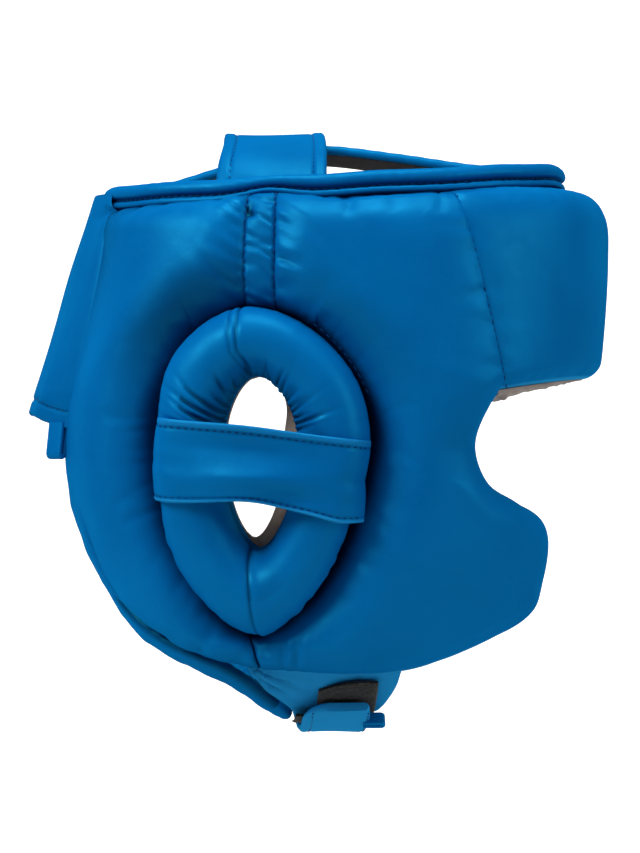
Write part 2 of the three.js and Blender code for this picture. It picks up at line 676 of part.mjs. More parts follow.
function chinLeftLoop(y) {
  const lap = THREE.MathUtils.smoothstep(chin.overlapStartY - y, 0, chin.overlapStartY - chin.overlapFullY);
  const offset = lap * (endStrapOffset + chinHalf);
  const fromEnd = y - chin.leftEndY;
  const round = fromEnd < chin.endRound ? 1 - 0.45 * (1 - fromEnd / chin.endRound) ** 2 : 1;
  const flatY = y < 0 ? 0 : y;
  const middle = (chinEdge(flatY, "back") + chinEdge(flatY, "front")) / 2;
  const half = ((chinEdge(flatY, "front") - chinEdge(flatY, "back")) / 2) * round;
  return chinLoop(y, middle - half, middle + half, offset - chinHalf, offset + chinHalf);
}
addPiece("chin_strap_left", span(chinReach, chin.leftEndY, 18).map(chinLeftLoop), leather);
function addPatch(name, patch) {
  const loops = span(-patch.outerY, -patch.innerY, 6)
    .map((y) => chinLoop(y, patch.back, patch.front, patch.offset, patch.offset + patch.thickness));
  addPiece(name, loops, hookAndLoop);
}
addPatch("chin_loop_patch", loopPatch);
addPatch("chin_hook_patch", hookPatch);

const chinTabMesh = new THREE.Mesh(tabGeometry(chinTab), strapLeather);
chinTabMesh.name = "chin_pull_tab";
const tabRoot = chinPoint(chinRows[0].front + chinTab.reach, chinTab.y, endStrapOffset + chinHalf);
chinTabMesh.position.copy(tabRoot);
chinTabMesh.rotation.set(chinTab.turn, 0, Math.PI / 2);
guard.add(chinTabMesh);

// Neck binding: a soft roll swept along the low edge, then along the chin strap's aft edge.
function bindingCentres() {
  const low = rearEdge.slice(2, 12);
  const padPart = low.map((edge, i) => {
    const before = low[Math.max(i - 1, 0)];
    const after = low[Math.min(i + 1, low.length - 1)];
    const run = new THREE.Vector2(after.forward - before.forward, after.z - before.z).normalize();
    const away = neckBinding.gap + neckBinding.edgeRadius;
    return point(edge.forward - run.y * away, edge.z + run.x * away, neckBinding.out);
  });
  const chinPart = [65.4, 60, 50, 36, 18].map((y) => {
    const at = chinPoint(chinEdge(y, "back"), -y, 0);
    const run = chinPoint(chinEdge(y + 1, "back"), -y - 1, 0).sub(chinPoint(chinEdge(y - 1, "back"), 1 - y, 0));
    const face = chinPoint(chinEdge(y, "back"), -y, 1).sub(at);
    const aft = face.cross(run).normalize();
    return at.addScaledVector(aft, -Math.sign(aft.x) * (neckBinding.gap + neckBinding.edgeRadius));
  });
  return [...padPart.reverse(), ...chinPart];
}
function bindingLoops() {
  const curve = new THREE.CatmullRomCurve3(bindingCentres());
  const axis = new THREE.Vector3(-0.1, 0, -0.6);
  return Array.from({ length: neckBinding.stations + 1 }, (_, i) => {
    const at = curve.getPointAt(i / neckBinding.stations);
    const tangent = curve.getTangentAt(i / neckBinding.stations);
    const outward = new THREE.Vector3(at.x, at.y, 0).normalize().add(axis).projectOnPlane(tangent).normalize();
    const sideways = tangent.clone().cross(outward);
    return Array.from({ length: neckBinding.sides }, (_, j) => {
      const turn = (2 * Math.PI * j) / neckBinding.sides;
      return at.clone()
        .addScaledVector(outward, Math.cos(turn) * neckBinding.outRadius)
        .addScaledVector(sideways, Math.sin(turn) * neckBinding.edgeRadius);
    });
  });
}
addPair("neck_binding", bindingLoops(), strapLeather);

export default guard;
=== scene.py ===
import math

import bpy
import numpy as np
from mathutils import Matrix


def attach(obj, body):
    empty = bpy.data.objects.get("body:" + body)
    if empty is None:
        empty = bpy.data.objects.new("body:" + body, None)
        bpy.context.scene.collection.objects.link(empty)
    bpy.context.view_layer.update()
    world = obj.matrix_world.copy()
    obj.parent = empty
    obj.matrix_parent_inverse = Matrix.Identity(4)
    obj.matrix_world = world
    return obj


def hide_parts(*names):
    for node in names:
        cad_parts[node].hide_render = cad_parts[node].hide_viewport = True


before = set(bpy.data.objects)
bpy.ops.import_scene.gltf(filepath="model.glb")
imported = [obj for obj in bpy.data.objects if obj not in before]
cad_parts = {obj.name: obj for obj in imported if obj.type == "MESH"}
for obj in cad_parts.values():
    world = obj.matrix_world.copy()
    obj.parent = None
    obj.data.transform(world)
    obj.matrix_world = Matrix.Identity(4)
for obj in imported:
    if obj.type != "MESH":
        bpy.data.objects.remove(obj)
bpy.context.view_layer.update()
mm = 0.001
print("frame loaded,", len(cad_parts), "nodes")


# small tools for tables, grids and meshes, all in millimetres until a mesh is made

def smoothColumn(places, values, at):  # smooth curve through a short table
    places, values = np.asarray(places, float), np.asarray(values, float)
    if places[0] > places[-1]:
        places, values = places[::-1], values[::-1]
    slope = np.gradient(values, places, edge_order=1)
    slope[1:-1] = (values[2:] - values[:-2]) / (places[2:] - places[:-2])
    at = np.clip(np.asarray(at, float), places[0], places[-1])
    i = np.clip(np.searchsorted(places, at, side="right") - 1, 0, len(places) - 2)
    span = places[i + 1] - places[i]
    t = (at - places[i]) / span
    rise = values[i + 1] - values[i]
    bend = span * ((1 - t) * slope[i] - t * slope[i + 1]) - (1 - 2 * t) * rise
    return values[i] + t * rise + t * (1 - t) * bend


def runLength(first, second):  # distance covered up to each point of a line
    return np.concatenate([[0], np.cumsum(np.hypot(np.diff(first), np.diff(second)))])


def traceRows(columns, rows, count):  # points along a table of places, every column carried along
    table = {name: np.array([row[k] for row in rows], float) for k, name in enumerate(columns)}
    along = runLength(table[columns[0]], table[columns[1]])
    at = np.linspace(0, along[-1], count + 1)
    return {name: smoothColumn(along, values, at) for name, values in table.items()}


def joinTraces(*traces):
    return {name: np.concatenate([t[name] for t in traces]) for name in traces[0]}


def lerp(a, b, t):
    return a + (b - a) * t


def easeStep(value, low, high):
    t = np.clip((value - low) / (high - low), 0, 1)
    return t * t * (3 - 2 * t)


def hump(value, middle, width):  # bell curve, 1 at its middle
    return np.exp(-((value - middle) / width) ** 2)


def endCrowded(count):  # 0 to 1, close together at both ends
    return 0.5 - 0.5 * np.cos(np.linspace(0, math.pi, count))


def rollOff(distance, width, share, fullness=2.0):  # share of full height near a rounded edge
    short = 1 - np.clip(distance / width, 0, 1)
    return share + (1 - share) * (1 - short ** fullness) ** (1 / fullness)


def gridNormals(points, closeAlong, closeAcross):
    def slope(axis, closed):
        if closed:
            return np.roll(points, -1, axis) - np.roll(points, 1, axis)
        return np.gradient(points, axis=axis)
    normal = np.cross(slope(0, closeAlong), slope(1, closeAcross))
    return normal / np.maximum(np.linalg.norm(normal, axis=2, keepdims=True), 1e-9)


def pushOut(points, distance, closeAlong, closeAcross, outward):  # move a grid along its own normals
    normal = gridNormals(points, closeAlong, closeAcross)
    sign = np.sign((normal * outward).sum())
    return points + normal * sign * distance[..., None]


# every crease is drawn from these ranges, as shares of what its row gives
creaseDice = {"place": (-0.4, 0.4), "depth": (0.25, 1.0), "reach": (0.45, 1.25), "width": (0.7, 1.3)}
creaseShape = {"widening": 0.05, "ridge": 0.35, "ridgeAway": 1.9}


# creases that run off a seam; a row gives spacing, depth, reach, width, lean either way and common slant
def puckers(along, away, row, seed):
    spacing, depth, reach, width, lean, slant = row
    dice = np.random.default_rng(seed)
    start, end = along.min(), along.max()
    total = np.zeros(np.broadcast(along, away).shape)
    for k in range(int((end - start) / spacing)):
        place = start + (k + 0.5 + dice.uniform(*creaseDice["place"])) * spacing
        deep, far = depth * dice.uniform(*creaseDice["depth"]), reach * dice.uniform(*creaseDice["reach"])
        leaning, wide = slant + dice.uniform(-lean, lean), width * dice.uniform(*creaseDice["width"])
        off = (along - place - leaning * away) / (wide * (1 + creaseShape["widening"] * away))
        fade = hump(away, 0, far)
        total -= deep * hump(off, 0, 1) * fade
        total += creaseShape["ridge"] * deep * hump(np.abs(off), creaseShape["ridgeAway"], 1) * fade
    return total


def swell(points, size, seed):  # slow uneven swelling, about -1 to 1
    dice = np.random.default_rng(seed)
    total = np.zeros(points.shape[:-1])
    for _ in range(7):
        way = dice.normal(size=3)
        way /= np.linalg.norm(way)
        total += np.sin(points @ way * (2 * math.pi / (size * dice.uniform(0.7, 1.5))) + dice.uniform(0, 6.3))
    return total / 4


def gridFaces(rows, columns, closeAlong=False, closeAcross=True):
    i = np.arange(rows if closeAlong else rows - 1)[:, None]
    j = np.arange(columns if closeAcross else columns - 1)[None, :]
    here, ahead = i * columns, (i + 1) % rows * columns
    beside = (j + 1) % columns
    quads = np.stack(np.broadcast_arrays(here + j, ahead + j, ahead + beside, here + beside), -1)
    return quads.reshape(-1, 4).tolist()


def cappedFaces(rows, columns):  # an open run of closed loops, with a cap on each end
    faces = gridFaces(rows, columns)
    faces.append(list(range(columns))[::-1])
    faces.append(list(range((rows - 1) * columns, rows * columns)))
    return faces


def signedVolume(points, faces):
    total = 0.0
    for size in sorted({len(f) for f in faces}):
        group = points[np.array([f for f in faces if len(f) == size])]
        for k in range(1, size - 1):
            total += np.einsum("ij,ij->", group[:, 0], np.cross(group[:, k], group[:, k + 1]))
    return total


def linked(name, data):  # a new object in the scene
    thing = bpy.data.objects.new(name, data)
    bpy.context.scene.collection.objects.link(thing)
    return thing


def meshPiece(name, points, faces, materials, sharp=55, creaseDepth=None, faceMaterial=None, wear=None):
    flat = points.reshape(-1, 3)
    if signedVolume(flat - flat.mean(0), faces) < 0:
        faces = [f[::-1] for f in faces]
    mesh = bpy.data.meshes.new(name)
    mesh.from_pydata((flat * mm).tolist(), [], faces)
    for material in materials:
        mesh.materials.append(material)
    mesh.polygons.foreach_set("use_smooth", [True] * len(mesh.polygons))
    if faceMaterial is not None:
        mesh.polygons.foreach_set("material_index", list(faceMaterial))
    mesh.set_sharp_from_angle(angle=math.radians(sharp))
    # each piece carries two point amounts: painted shade, and rubbed wear with painted highlight
    for label, amount in (("crease", creaseDepth), ("wear", wear)):
        values = np.zeros(len(flat)) if amount is None else np.clip(amount.reshape(-1), 0, 1)
        mesh.attributes.new(label, "FLOAT", "POINT").data.foreach_set("value", values.astype(np.float32))
    mesh.update()
    return linked(name, mesh)


# stuffing: a coarse copy of a cover's face is blown up by the cloth solver with its sewn edges held still
# it is cut a little larger than its seams, so that it buckles beside them
# sizes are taken ten times up for the solver
stuffing = {"pressure": 4.0, "cutLarger": 0.016, "frames": 20, "quality": 6, "mass": 0.3, "tension": 15.0,
            "bending": 0.05, "upscale": 10.0, "smoothings": 3}
stuffed = {}


def blowUp(name, coarse, closeAlong):  # how far the solver moves each place of a cover, in millimetres
    start = (coarse * mm * stuffing["upscale"]).reshape(-1, 3)
    rows, columns = coarse.shape[:2]
    faces = gridFaces(rows, columns, closeAlong, False)
    facing = gridNormals(coarse, closeAlong, False) * coarse * np.array([1, 1, 0])
    if facing.sum() < 0:  # the pressure pushes along the normals
        faces = [f[::-1] for f in faces]
    mesh = bpy.data.meshes.new(name)
    mesh.from_pydata(start.tolist(), [], faces)
    cover = linked(name, mesh)
    sewn = np.zeros((rows, columns), bool)
    sewn[:, 0] = sewn[:, -1] = True
    if not closeAlong:
        sewn[0] = sewn[-1] = True
    cover.vertex_groups.new(name="sewn").add(np.flatnonzero(sewn).tolist(), 1.0, "ADD")
    cloth = cover.modifiers.new("stuffing", "CLOTH")
    settings = cloth.settings
    settings.quality, settings.mass = stuffing["quality"], stuffing["mass"]
    settings.tension_stiffness = settings.compression_stiffness = stuffing["tension"]
    settings.bending_stiffness = stuffing["bending"]
    settings.vertex_group_mass = "sewn"
    settings.shrink_min = -stuffing["cutLarger"]
    settings.use_pressure, settings.uniform_pressure_force = True, stuffing["pressure"]
    settings.effector_weights.gravity = 0.0
    cloth.point_cache.frame_start, cloth.point_cache.frame_end = 1, stuffing["frames"]
    for step in range(1, stuffing["frames"] + 1):
        bpy.context.scene.frame_set(step)
    done = cover.evaluated_get(bpy.context.evaluated_depsgraph_get()).data
    after = np.empty(len(start) * 3, np.float32)
    done.vertices.foreach_get("co", after)
    bpy.data.objects.remove(cover)
    bpy.data.meshes.remove(mesh)
    bpy.context.scene.frame_set(1)
    return (after.reshape(-1, 3) - start).reshape(coarse.shape) / mm / stuffing["upscale"]


def refine(coarse, at, count):  # rows between the coarse ones, on straight lines
    lines = [np.interp(np.arange(count), at, line) for line in coarse.reshape(len(coarse), -1).T]
    return np.transpose(lines).reshape(count, *coarse.shape[1:])


# the solver's result, laid back on the fine face; the two sides are stuffed alike
def stuff(name, outer, rowStep, columnStep, most, closeAlong=False):
    if name not in stuffed:
        rows, columns = outer.shape[:2]
        atRow, atColumn = np.arange(0, rows, rowStep), np.arange(0, columns, columnStep)
        atRow = atRow if closeAlong else np.unique(np.append(atRow, rows - 1))
        atColumn = np.unique(np.append(atColumn, columns - 1))
        moved = blowUp(name, outer[atRow][:, atColumn], closeAlong)
        far = np.linalg.norm(moved, axis=2, keepdims=True)
        print(name, "stuffed: moved", far.mean().round(2), "mm, at most", far.max().round(2))
        moved = moved * np.tanh(far / most) * most / np.maximum(far, 1e-9)
        if closeAlong:
            moved, atRow = np.concatenate([moved, moved[:1]]), np.append(atRow, rows)
        across = refine(moved.swapaxes(0, 1), atColumn, columns).swapaxes(0, 1)
        fine = refine(across, atRow, rows)
        for _ in range(stuffing["smoothings"]):  # takes the solver's coarse cells out again
            if closeAlong:
                fine[:] = (np.roll(fine, 1, 0) + 2 * fine + np.roll(fine, -1, 0)) / 4
            else:
                fine[1:-1] = (fine[:-2] + 2 * fine[1:-1] + fine[2:]) / 4
            fine[:, 1:-1] = (fine[:, :-2] + 2 * fine[:, 1:-1] + fine[:, 2:]) / 4
        stuffed[name] = fine
    return stuffed[name]


def mirrorY(points):
    return points * np.array([1.0, -1.0, 1.0])


def onSide(side, points):  # grids are made for the wearer's right
    return mirrorY(points) if side == "left" else points


def turnPoints(points, first, second, angle):  # turned from the first axis to the second
    turned = points.copy()
    turned[..., first] = points[..., first] * math.cos(angle) - points[..., second] * math.sin(angle)
    turned[..., second] = points[..., first] * math.sin(angle) + points[..., second] * math.cos(angle)
    return turned


# materials

def toLinear(hexColour):
    channels = [int(hexColour[k:k + 2], 16) / 255 for k in (1, 3, 5)]
    return tuple(c / 12.92 if c <= 0.04045 else ((c + 0.055) / 1.055) ** 2.4 for c in channels) + (1.0,)


def addNode(tree, kind, inputs=None, **settings):
    node = tree.nodes.new(kind)
    for key, value in settings.items():
        setattr(node, key, value)
    for key, value in (inputs or {}).items():
        if isinstance(value, bpy.types.NodeSocket):
            tree.links.new(value, node.inputs[key])
        else:
            node.inputs[key].default_value = value
    return node


def newMaterial(name):
    material = bpy.data.materials.new(name)
    material.use_nodes = True
    material.node_tree.nodes.clear()
    return material, material.node_tree


# the fold colour is painted shade; the worn colour is partly rubbed wear and partly a painted highlight on
# edges that catch light
leatherLook = {
    "light": "#0067ae", "deep": "#005da2", "toneSpan": (0.36, 0.66), "fold": "#001646", "wornAndLit": "#2b97d4",
    "sheen": "#2cc6ec", "sheenShare": 0.072, "roughLow": 0.40, "roughHigh": 0.52, "bodyRough": 0.7,
    "patchMm": 55, "grainMm": 1.1, "grainStrength": 0.12, "grainDeep": 0.00025,
    "rumpleMm": 7.0, "rumpleStrength": 0.10, "rumpleDeep": 0.0012,
}


# PU-coated synthetic leather, rolled on a grain drum: an even blue with a soft broad sheen,
# a faint fine grain that is drawn a little coarse so that it shows, a painted shade colour mixed in
# down in folds, valleys and recesses, and a paler colour along edges that is partly rubbed wear and partly a
# painted highlight
def syntheticLeather(name, look):
    material, tree = newMaterial(name)
    place = addNode(tree, "ShaderNodeTexCoord").outputs["Object"]
    patch = addNode(tree, "ShaderNodeTexNoise", {
        "Vector": place, "Scale": 1000 / look["patchMm"], "Detail": 2.0})
    tone = addNode(tree, "ShaderNodeValToRGB", {"Fac": patch.outputs["Fac"]})
    for end, colour, spot in zip(tone.color_ramp.elements, ("deep", "light"), look["toneSpan"]):
        end.position, end.color = spot, toLinear(look[colour])
    # per-point amounts: painted shade, and rubbed wear with painted highlight
    crease = addNode(tree, "ShaderNodeAttribute", attribute_name="crease")
    wear = addNode(tree, "ShaderNodeAttribute", attribute_name="wear")
    rubbedAndLit = addNode(tree, "ShaderNodeMix", {
        0: wear.outputs["Fac"], 6: tone.outputs["Color"], 7: toLinear(look["wornAndLit"])}, data_type="RGBA")
    mixed = addNode(tree, "ShaderNodeMix", {
        0: crease.outputs["Fac"], 6: rubbedAndLit.outputs[2], 7: toLinear(look["fold"])}, data_type="RGBA")
    grain = addNode(tree, "ShaderNodeTexVoronoi", {
        "Vector": place, "Scale": 1000 / look["grainMm"]}, feature="SMOOTH_F1")
    rumple = addNode(tree, "ShaderNodeTexNoise", {
        "Vector": place, "Scale": 1000 / look["rumpleMm"], "Detail": 3.0})
    sheen = addNode(tree, "ShaderNodeMapRange", {
        "Value": rumple.outputs["Fac"], "From Min": 0.3, "From Max": 0.7,
        "To Min": look["roughLow"], "To Max": look["roughHigh"]})
    grainBump = addNode(tree, "ShaderNodeBump", {
        "Height": grain.outputs["Distance"], "Strength": look["grainStrength"],
        "Distance": look["grainDeep"]})
    rumpleBump = addNode(tree, "ShaderNodeBump", {
        "Height": rumple.outputs["Fac"], "Strength": look["rumpleStrength"], "Distance": look["rumpleDeep"],
        "Normal": grainBump.outputs["Normal"]})
    body = addNode(tree, "ShaderNodeBsdfPrincipled", {
        "Base Color": mixed.outputs[2], "Roughness": look["bodyRough"],
        "Normal": rumpleBump.outputs["Normal"], "Specular IOR Level": 0.0})
    gloss = addNode(tree, "ShaderNodeBsdfGlossy", {
        "Color": toLinear(look["sheen"]), "Roughness": sheen.outputs["Result"],
        "Normal": rumpleBump.outputs["Normal"]})
    both = addNode(tree, "ShaderNodeMixShader", {
        0: look["sheenShare"], 1: body.outputs["BSDF"], 2: gloss.outputs["BSDF"]})
    addNode(tree, "ShaderNodeOutputMaterial", {"Surface": both.outputs["Shader"]})
    return material


liningLook = {"light": "#a5968c", "deep": "#7d7067", "toneSpan": (0.35, 0.65), "threadMm": 1.3,
              "cloudScale": 60.0}
# painted light: the side lining is a paler, browner copy of the lining, lightened to make up for the shade it
# sits in inside the ear hole
sideLiningLightenedLook = dict(liningLook, light="#d6bda6", deep="#ad9580")


# brushed knit lining: matt grey-brown, with fine rows of stitches that catch little light
def knitLining(name, look):
    material, tree = newMaterial(name)
    place = addNode(tree, "ShaderNodeTexCoord").outputs["Object"]
    rows = addNode(tree, "ShaderNodeTexVoronoi", {"Vector": place, "Scale": 1000 / look["threadMm"]})
    cloud = addNode(tree, "ShaderNodeTexNoise", {"Vector": place, "Scale": look["cloudScale"], "Detail": 4.0})
    tone = addNode(tree, "ShaderNodeValToRGB", {"Fac": cloud.outputs["Fac"]})
    for end, colour, spot in zip(tone.color_ramp.elements, ("deep", "light"), look["toneSpan"]):
        end.position, end.color = spot, toLinear(look[colour])
    bump = addNode(tree, "ShaderNodeBump", {
        "Height": rows.outputs["Distance"], "Strength": 0.5, "Distance": 0.0004})
    shader = addNode(tree, "ShaderNodeBsdfPrincipled", {
        "Base Color": tone.outputs["Color"], "Roughness": 0.92, "Normal": bump.outputs["Normal"],
        "Sheen Weight": 0.25, "Sheen Roughness": 0.5})
    addNode(tree, "ShaderNodeOutputMaterial", {"Surface": shader.outputs["BSDF"]})
    return material


pileLook = {"light": "#17181a", "deep": "#030304", "toneSpan": (0.38, 0.7), "loopMm": 0.9}


# nylon hook-and-loop pile: near black, a fuzzy surface of tiny loops
def loopPile(name, look):
    material, tree = newMaterial(name)
    place = addNode(tree, "ShaderNodeTexCoord").outputs["Object"]
    loops = addNode(tree, "ShaderNodeTexNoise", {
        "Vector": place, "Scale": 1000 / look["loopMm"], "Detail": 5.0})
    tone = addNode(tree, "ShaderNodeValToRGB", {"Fac": loops.outputs["Fac"]})
    for end, colour, spot in zip(tone.color_ramp.elements, ("deep", "light"), look["toneSpan"]):
        end.position, end.color = spot, toLinear(look[colour])
    bump = addNode(tree, "ShaderNodeBump", {
        "Height": loops.outputs["Fac"], "Strength": 0.9, "Distance": 0.0008})
    shader = addNode(tree, "ShaderNodeBsdfPrincipled", {
        "Base Color": tone.outputs["Color"], "Roughness": 0.96, "Normal": bump.outputs["Normal"],
        "Sheen Weight": 0.15})
    addNode(tree, "ShaderNodeOutputMaterial", {"Surface": shader.outputs["BSDF"]})
    return material


threadLook = {"light": "#00488a", "deep": "#002e62", "toneSpan": (0.0, 1.0), "twistMm": 0.6}


# bonded polyester thread: blue like the leather, a touch darker, with a twist
def polyesterThread(name, look):
    material, tree = newMaterial(name)
    place = addNode(tree, "ShaderNodeTexCoord").outputs["Object"]
    twist = addNode(tree, "ShaderNodeTexNoise", {
        "Vector": place, "Scale": 1000 / look["twistMm"], "Detail": 1.0})
    tone = addNode(tree, "ShaderNodeValToRGB", {"Fac": twist.outputs["Fac"]})
    for end, colour, spot in zip(tone.color_ramp.elements, ("deep", "light"), look["toneSpan"]):
        end.position, end.color = spot, toLinear(look[colour])
    shader = addNode(tree, "ShaderNodeBsdfPrincipled", {
        "Base Color": tone.outputs["Color"], "Roughness": 0.7, "Specular IOR Level": 0.1})
    addNode(tree, "ShaderNodeOutputMaterial", {"Surface": shader.outputs["BSDF"]})
    return material


blueLeather = syntheticLeather("syntheticLeatherBlue", leatherLook)
lining = knitLining("knitLiningGreyBrown", liningLook)
sideLiningLightened = knitLining("knitLiningBrownLightened", sideLiningLightenedLook)
blackPile = loopPile("hookAndLoopBlack", pileLook)
thread = polyesterThread("polyesterThreadBlue", threadLook)
print("materials made")


def stand(piece, slotName, *nodes):
    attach(piece, "root")
    if nodes:
        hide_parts(*nodes)
    return piece


# a finished grid becomes the piece that takes a node's place; a ring's rows close on themselves
def dressNode(node, suffix, points, material=blueLeather, slotName="leather", ring=False, **looks):
    rows, columns = points.shape[:2]
    faces = gridFaces(rows, columns, closeAlong=True) if ring else cappedFaces(rows, columns)
    return stand(meshPiece(f"{node}_{suffix}", points, faces, [material], **looks), slotName, node)


# head form that the pads are laid on: half sizes of level sections, and a squared oval plan

form = {
    "z": [15, -10, -40, -70, -110, -150, -185, -215, -250],
    "front": [97, 102, 103, 102, 99, 94, 87, 78, 64],
    "back": [84, 88.5, 91, 95, 102, 98.5, 86.5, 75, 60],
    "half": [55, 68, 76, 79, 80, 78, 73, 67, 57],
}
plan = {"front": 102, "back": 98, "half": 79, "fullness": 2.3}
ear = {"x": -28, "ahead": -2.6, "z": -119.6, "offset": (0, 0), "back": 37.2, "front": 47.4, "top": 53.2,
       "foot": 77.0, "topFront": 1.78, "topBack": 2.0, "footFront": 1.62, "footBack": 2.0}
earHole = {"offset": (1.8, -3.9), "back": 12.4, "front": 16.6, "top": 29.8, "foot": 39.0,
           "topFront": 1.9, "topBack": 1.9, "footFront": 1.65, "footBack": 1.75}
earRound = 52  # millimetres of the ear's seam to a radian
farthest = 130.0  # no seam lies further from the ear's middle
rimLine = {"forward": [-116, -60, -10, 30, 88, 130, 174], "z": [-11, -13, -13, -11.5, -6.6, -2.8, -1],
           "height": 10, "tuck": 0.5, "rise": 2.8, "riseSpan": 13}
seamGap = 0.5

turns = np.linspace(0, math.pi, 4801)
depth = np.cos(turns)
planPower = 2 / plan["fullness"]
planX = np.sign(depth) * np.abs(depth) ** planPower * np.where(depth > 0, plan["front"], plan["back"])
planY = np.abs(np.sin(turns)) ** planPower * plan["half"]
planAlong = runLength(planX, planY)
browMiddle = planAlong[np.argmax(planX <= ear["x"])]
backMiddle = browMiddle - planAlong[-1]


def foldForward(forward):  # the same place on the wearer's right
    folded = np.where(forward > browMiddle, 2 * browMiddle - forward, forward)
    return np.where(folded < backMiddle, 2 * backMiddle - folded, folded)


def formPoint(forward, z):  # on the wearer's right; past the brow's or back's middle it goes on to the left
    over = (forward > browMiddle) | (forward < backMiddle)
    along = browMiddle - foldForward(forward)
    x, y = np.interp(along, planAlong, planX), np.interp(along, planAlong, planY)
    front, back, half = (smoothColumn(form["z"], form[way], z) / plan[way]
                         for way in ("front", "back", "half"))
    x = np.where(x > 0, x * front, x * back)
    return np.stack(np.broadcast_arrays(x, np.where(over, y, -y) * half, z), -1)


def formNormal(forward, z):
    across = formPoint(forward + 1.5, z) - formPoint(forward - 1.5, z)
    upward = formPoint(forward, z + 1) - formPoint(forward, z - 1)
    normal = np.cross(across, upward)
    return normal / np.linalg.norm(normal, axis=-1, keepdims=True)


def shell(forward, z, out):  # point at a distance out of the form
    forward, z, out = np.broadcast_arrays(*(np.asarray(value, float) for value in (forward, z, out)))
    return formPoint(forward, z) + formNormal(forward, z) * out[..., None]


def planNarrowing(x, reach):
    return (1 - np.minimum(np.abs(x) / reach, 1) ** plan["fullness"]) ** (1 / plan["fullness"])


def rimTop(forward):
    return smoothColumn(rimLine["forward"], rimLine["z"], foldForward(forward))


def rimRise(forward):  # the welt is drawn up over the gusset
    return rimLine["rise"] * hump(foldForward(forward), 0, rimLine["riseSpan"])


def padTop(forward):
    return rimTop(forward) - rimLine["height"] - rimLine["tuck"] + rimRise(forward)


def eggReach(angle, egg):  # polar reach, from the ear's middle, of an egg made of four quarter ellipses
    low, high = np.zeros_like(angle), np.full_like(angle, farthest)
    for _ in range(26):
        reach = (low + high) / 2
        across, up = reach * np.cos(angle) - egg["offset"][0], reach * np.sin(angle) - egg["offset"][1]
        power = np.where(up > 0, np.where(across > 0, egg["topFront"], egg["topBack"]),
                         np.where(across > 0, egg["footFront"], egg["footBack"]))
        inside = (np.abs(across / np.where(across > 0, egg["front"], egg["back"])) ** power
                  + np.abs(up / np.where(up > 0, egg["top"], egg["foot"])) ** power) < 1
        low, high = np.where(inside, reach, low), np.where(inside, high, reach)
    return (low + high) / 2


def earReach(angle):
    return eggReach(np.asarray(angle, float), ear)


def holeReach(angle):
    return eggReach(np.asarray(angle, float), earHole)


def earPlace(angle, reach):
    return ear["ahead"] + reach * np.cos(angle), ear["z"] + reach * np.sin(angle)


def earPolar(forward, z):
    up, across = z - ear["z"], forward - ear["ahead"]
    return np.arctan2(up, across), np.hypot(up, across)


# side and rear pads: sections run from the ear's seam out to the pad's edge
# heights come from one field for each pad, and a top row's own z is under the rim

gusset = {"back": -6.2, "front": 5.6, "endShare": 0.74, "endRoll": 12, "uprightFrom": 0.9}
browSeam = {"topForward": 72.5, "footForward": 91.5, "footZ": -98.5, "share": 0.985, "roll": 2.5}
edgeColumns = ("forward", "z", "thick", "share", "roll", "free")
sidePad = {
    "name": "side_pad",
    "top": [(5.6, 0, 20, 0.24, 16, 0), (40, 0, 22, 0.24, 17, 0), (72.5, 0, 22, 0.22, 20, 0)],
    "seam": [(72.5, 0, 22, 0.9, 4, 0), (76.9, -36, 22, 0.95, 4, 0), (91.5, -98.5, 22, 0.9, 5, 0)],
    "face": [(91.5, -98.5, 22, 0.68, 8, 0.3), (86, -119.5, 19, 0.4, 13, 1), (92.5, -135, 19, 0.42, 13, 1),
             (107.5, -142.8, 19, 0.45, 13, 1), (121, -149, 20, 0.47, 13, 1), (127, -158, 20, 0.5, 13, 1),
             (128.3, -173, 20, 0.5, 13, 1), (125, -187, 20, 0.48, 13, 1), (111.5, -195.7, 19, 0.45, 13, 1),
             (62, -211, 18, 0.4, 14, 1), (-5, -210, 18, 0.4, 14, 1)],
    "stations": (70, 60, 190), "fill": 0.8, "earShade": 0.34, "shadeAngle": 0.9,
    "gather": (5.5, 1.7, 12, 1.6, 0.35, -0.55), "lowSeam": (7, 1.3, 18, 2.0, 0.9, 0), "lowSeed": 3,
    "browPull": (10, 0.5, 12, 1.8, 0.5, 0), "stitchDent": 0.2,
    "tucks": [(7, -0.9), (9.6, 0.6), (13, -1.1), (16, 0.6)], "tuckZ": -204, "tuckTall": 9, "tuckWide": 1.5,
    "tuckLean": 0.25, "tuckFoot": -205,
}
rearPad = {
    "name": "rear_pad",
    "low": [(-6, -210, 18, 0.4, 14, 1), (-32, -204.5, 18, 0.4, 14, 1), (-54, -193.5, 17, 0.4, 14, 1),
            (-77, -172, 15, 0.45, 13, 1), (-87, -145, 14, 0.5, 11, 1)],
    "back": [(-87, -145, 14, 0.5, 11, 1), (-90, -70, 11, 0.5, 11, 1), (-88, -23.5, 7, 0.5, 11, 1)],
    "top": [(-88, 0, 7, 0.5, 11, 0), (-50, 0, 17, 0.26, 14, 0), (-6.2, 0, 20, 0.24, 16, 0)],
    "groove": [(-72, -138), (-69, -153), (-66.4, -165), (-62.6, -180), (-54.5, -190), (-45, -196.5)],
    "grooveDeep": 2.7, "grooveWide": 1.2, "grooveBelow": (138, 162),
    "stations": (96, 84, 70), "fill": 0.8, "earShade": 0.84, "shadeAngle": 2.03,
    "gather": (5.5, 1.7, 13, 1.6, 0.35, 0.5), "lowSeam": (7, 1.0, 14, 1.8, 0.9, 0), "lowSeed": 6,
    "lowEdge": (8, 0.9, 17, 1.8, 0.5, 0), "edgeBelow": (130, 170),
}
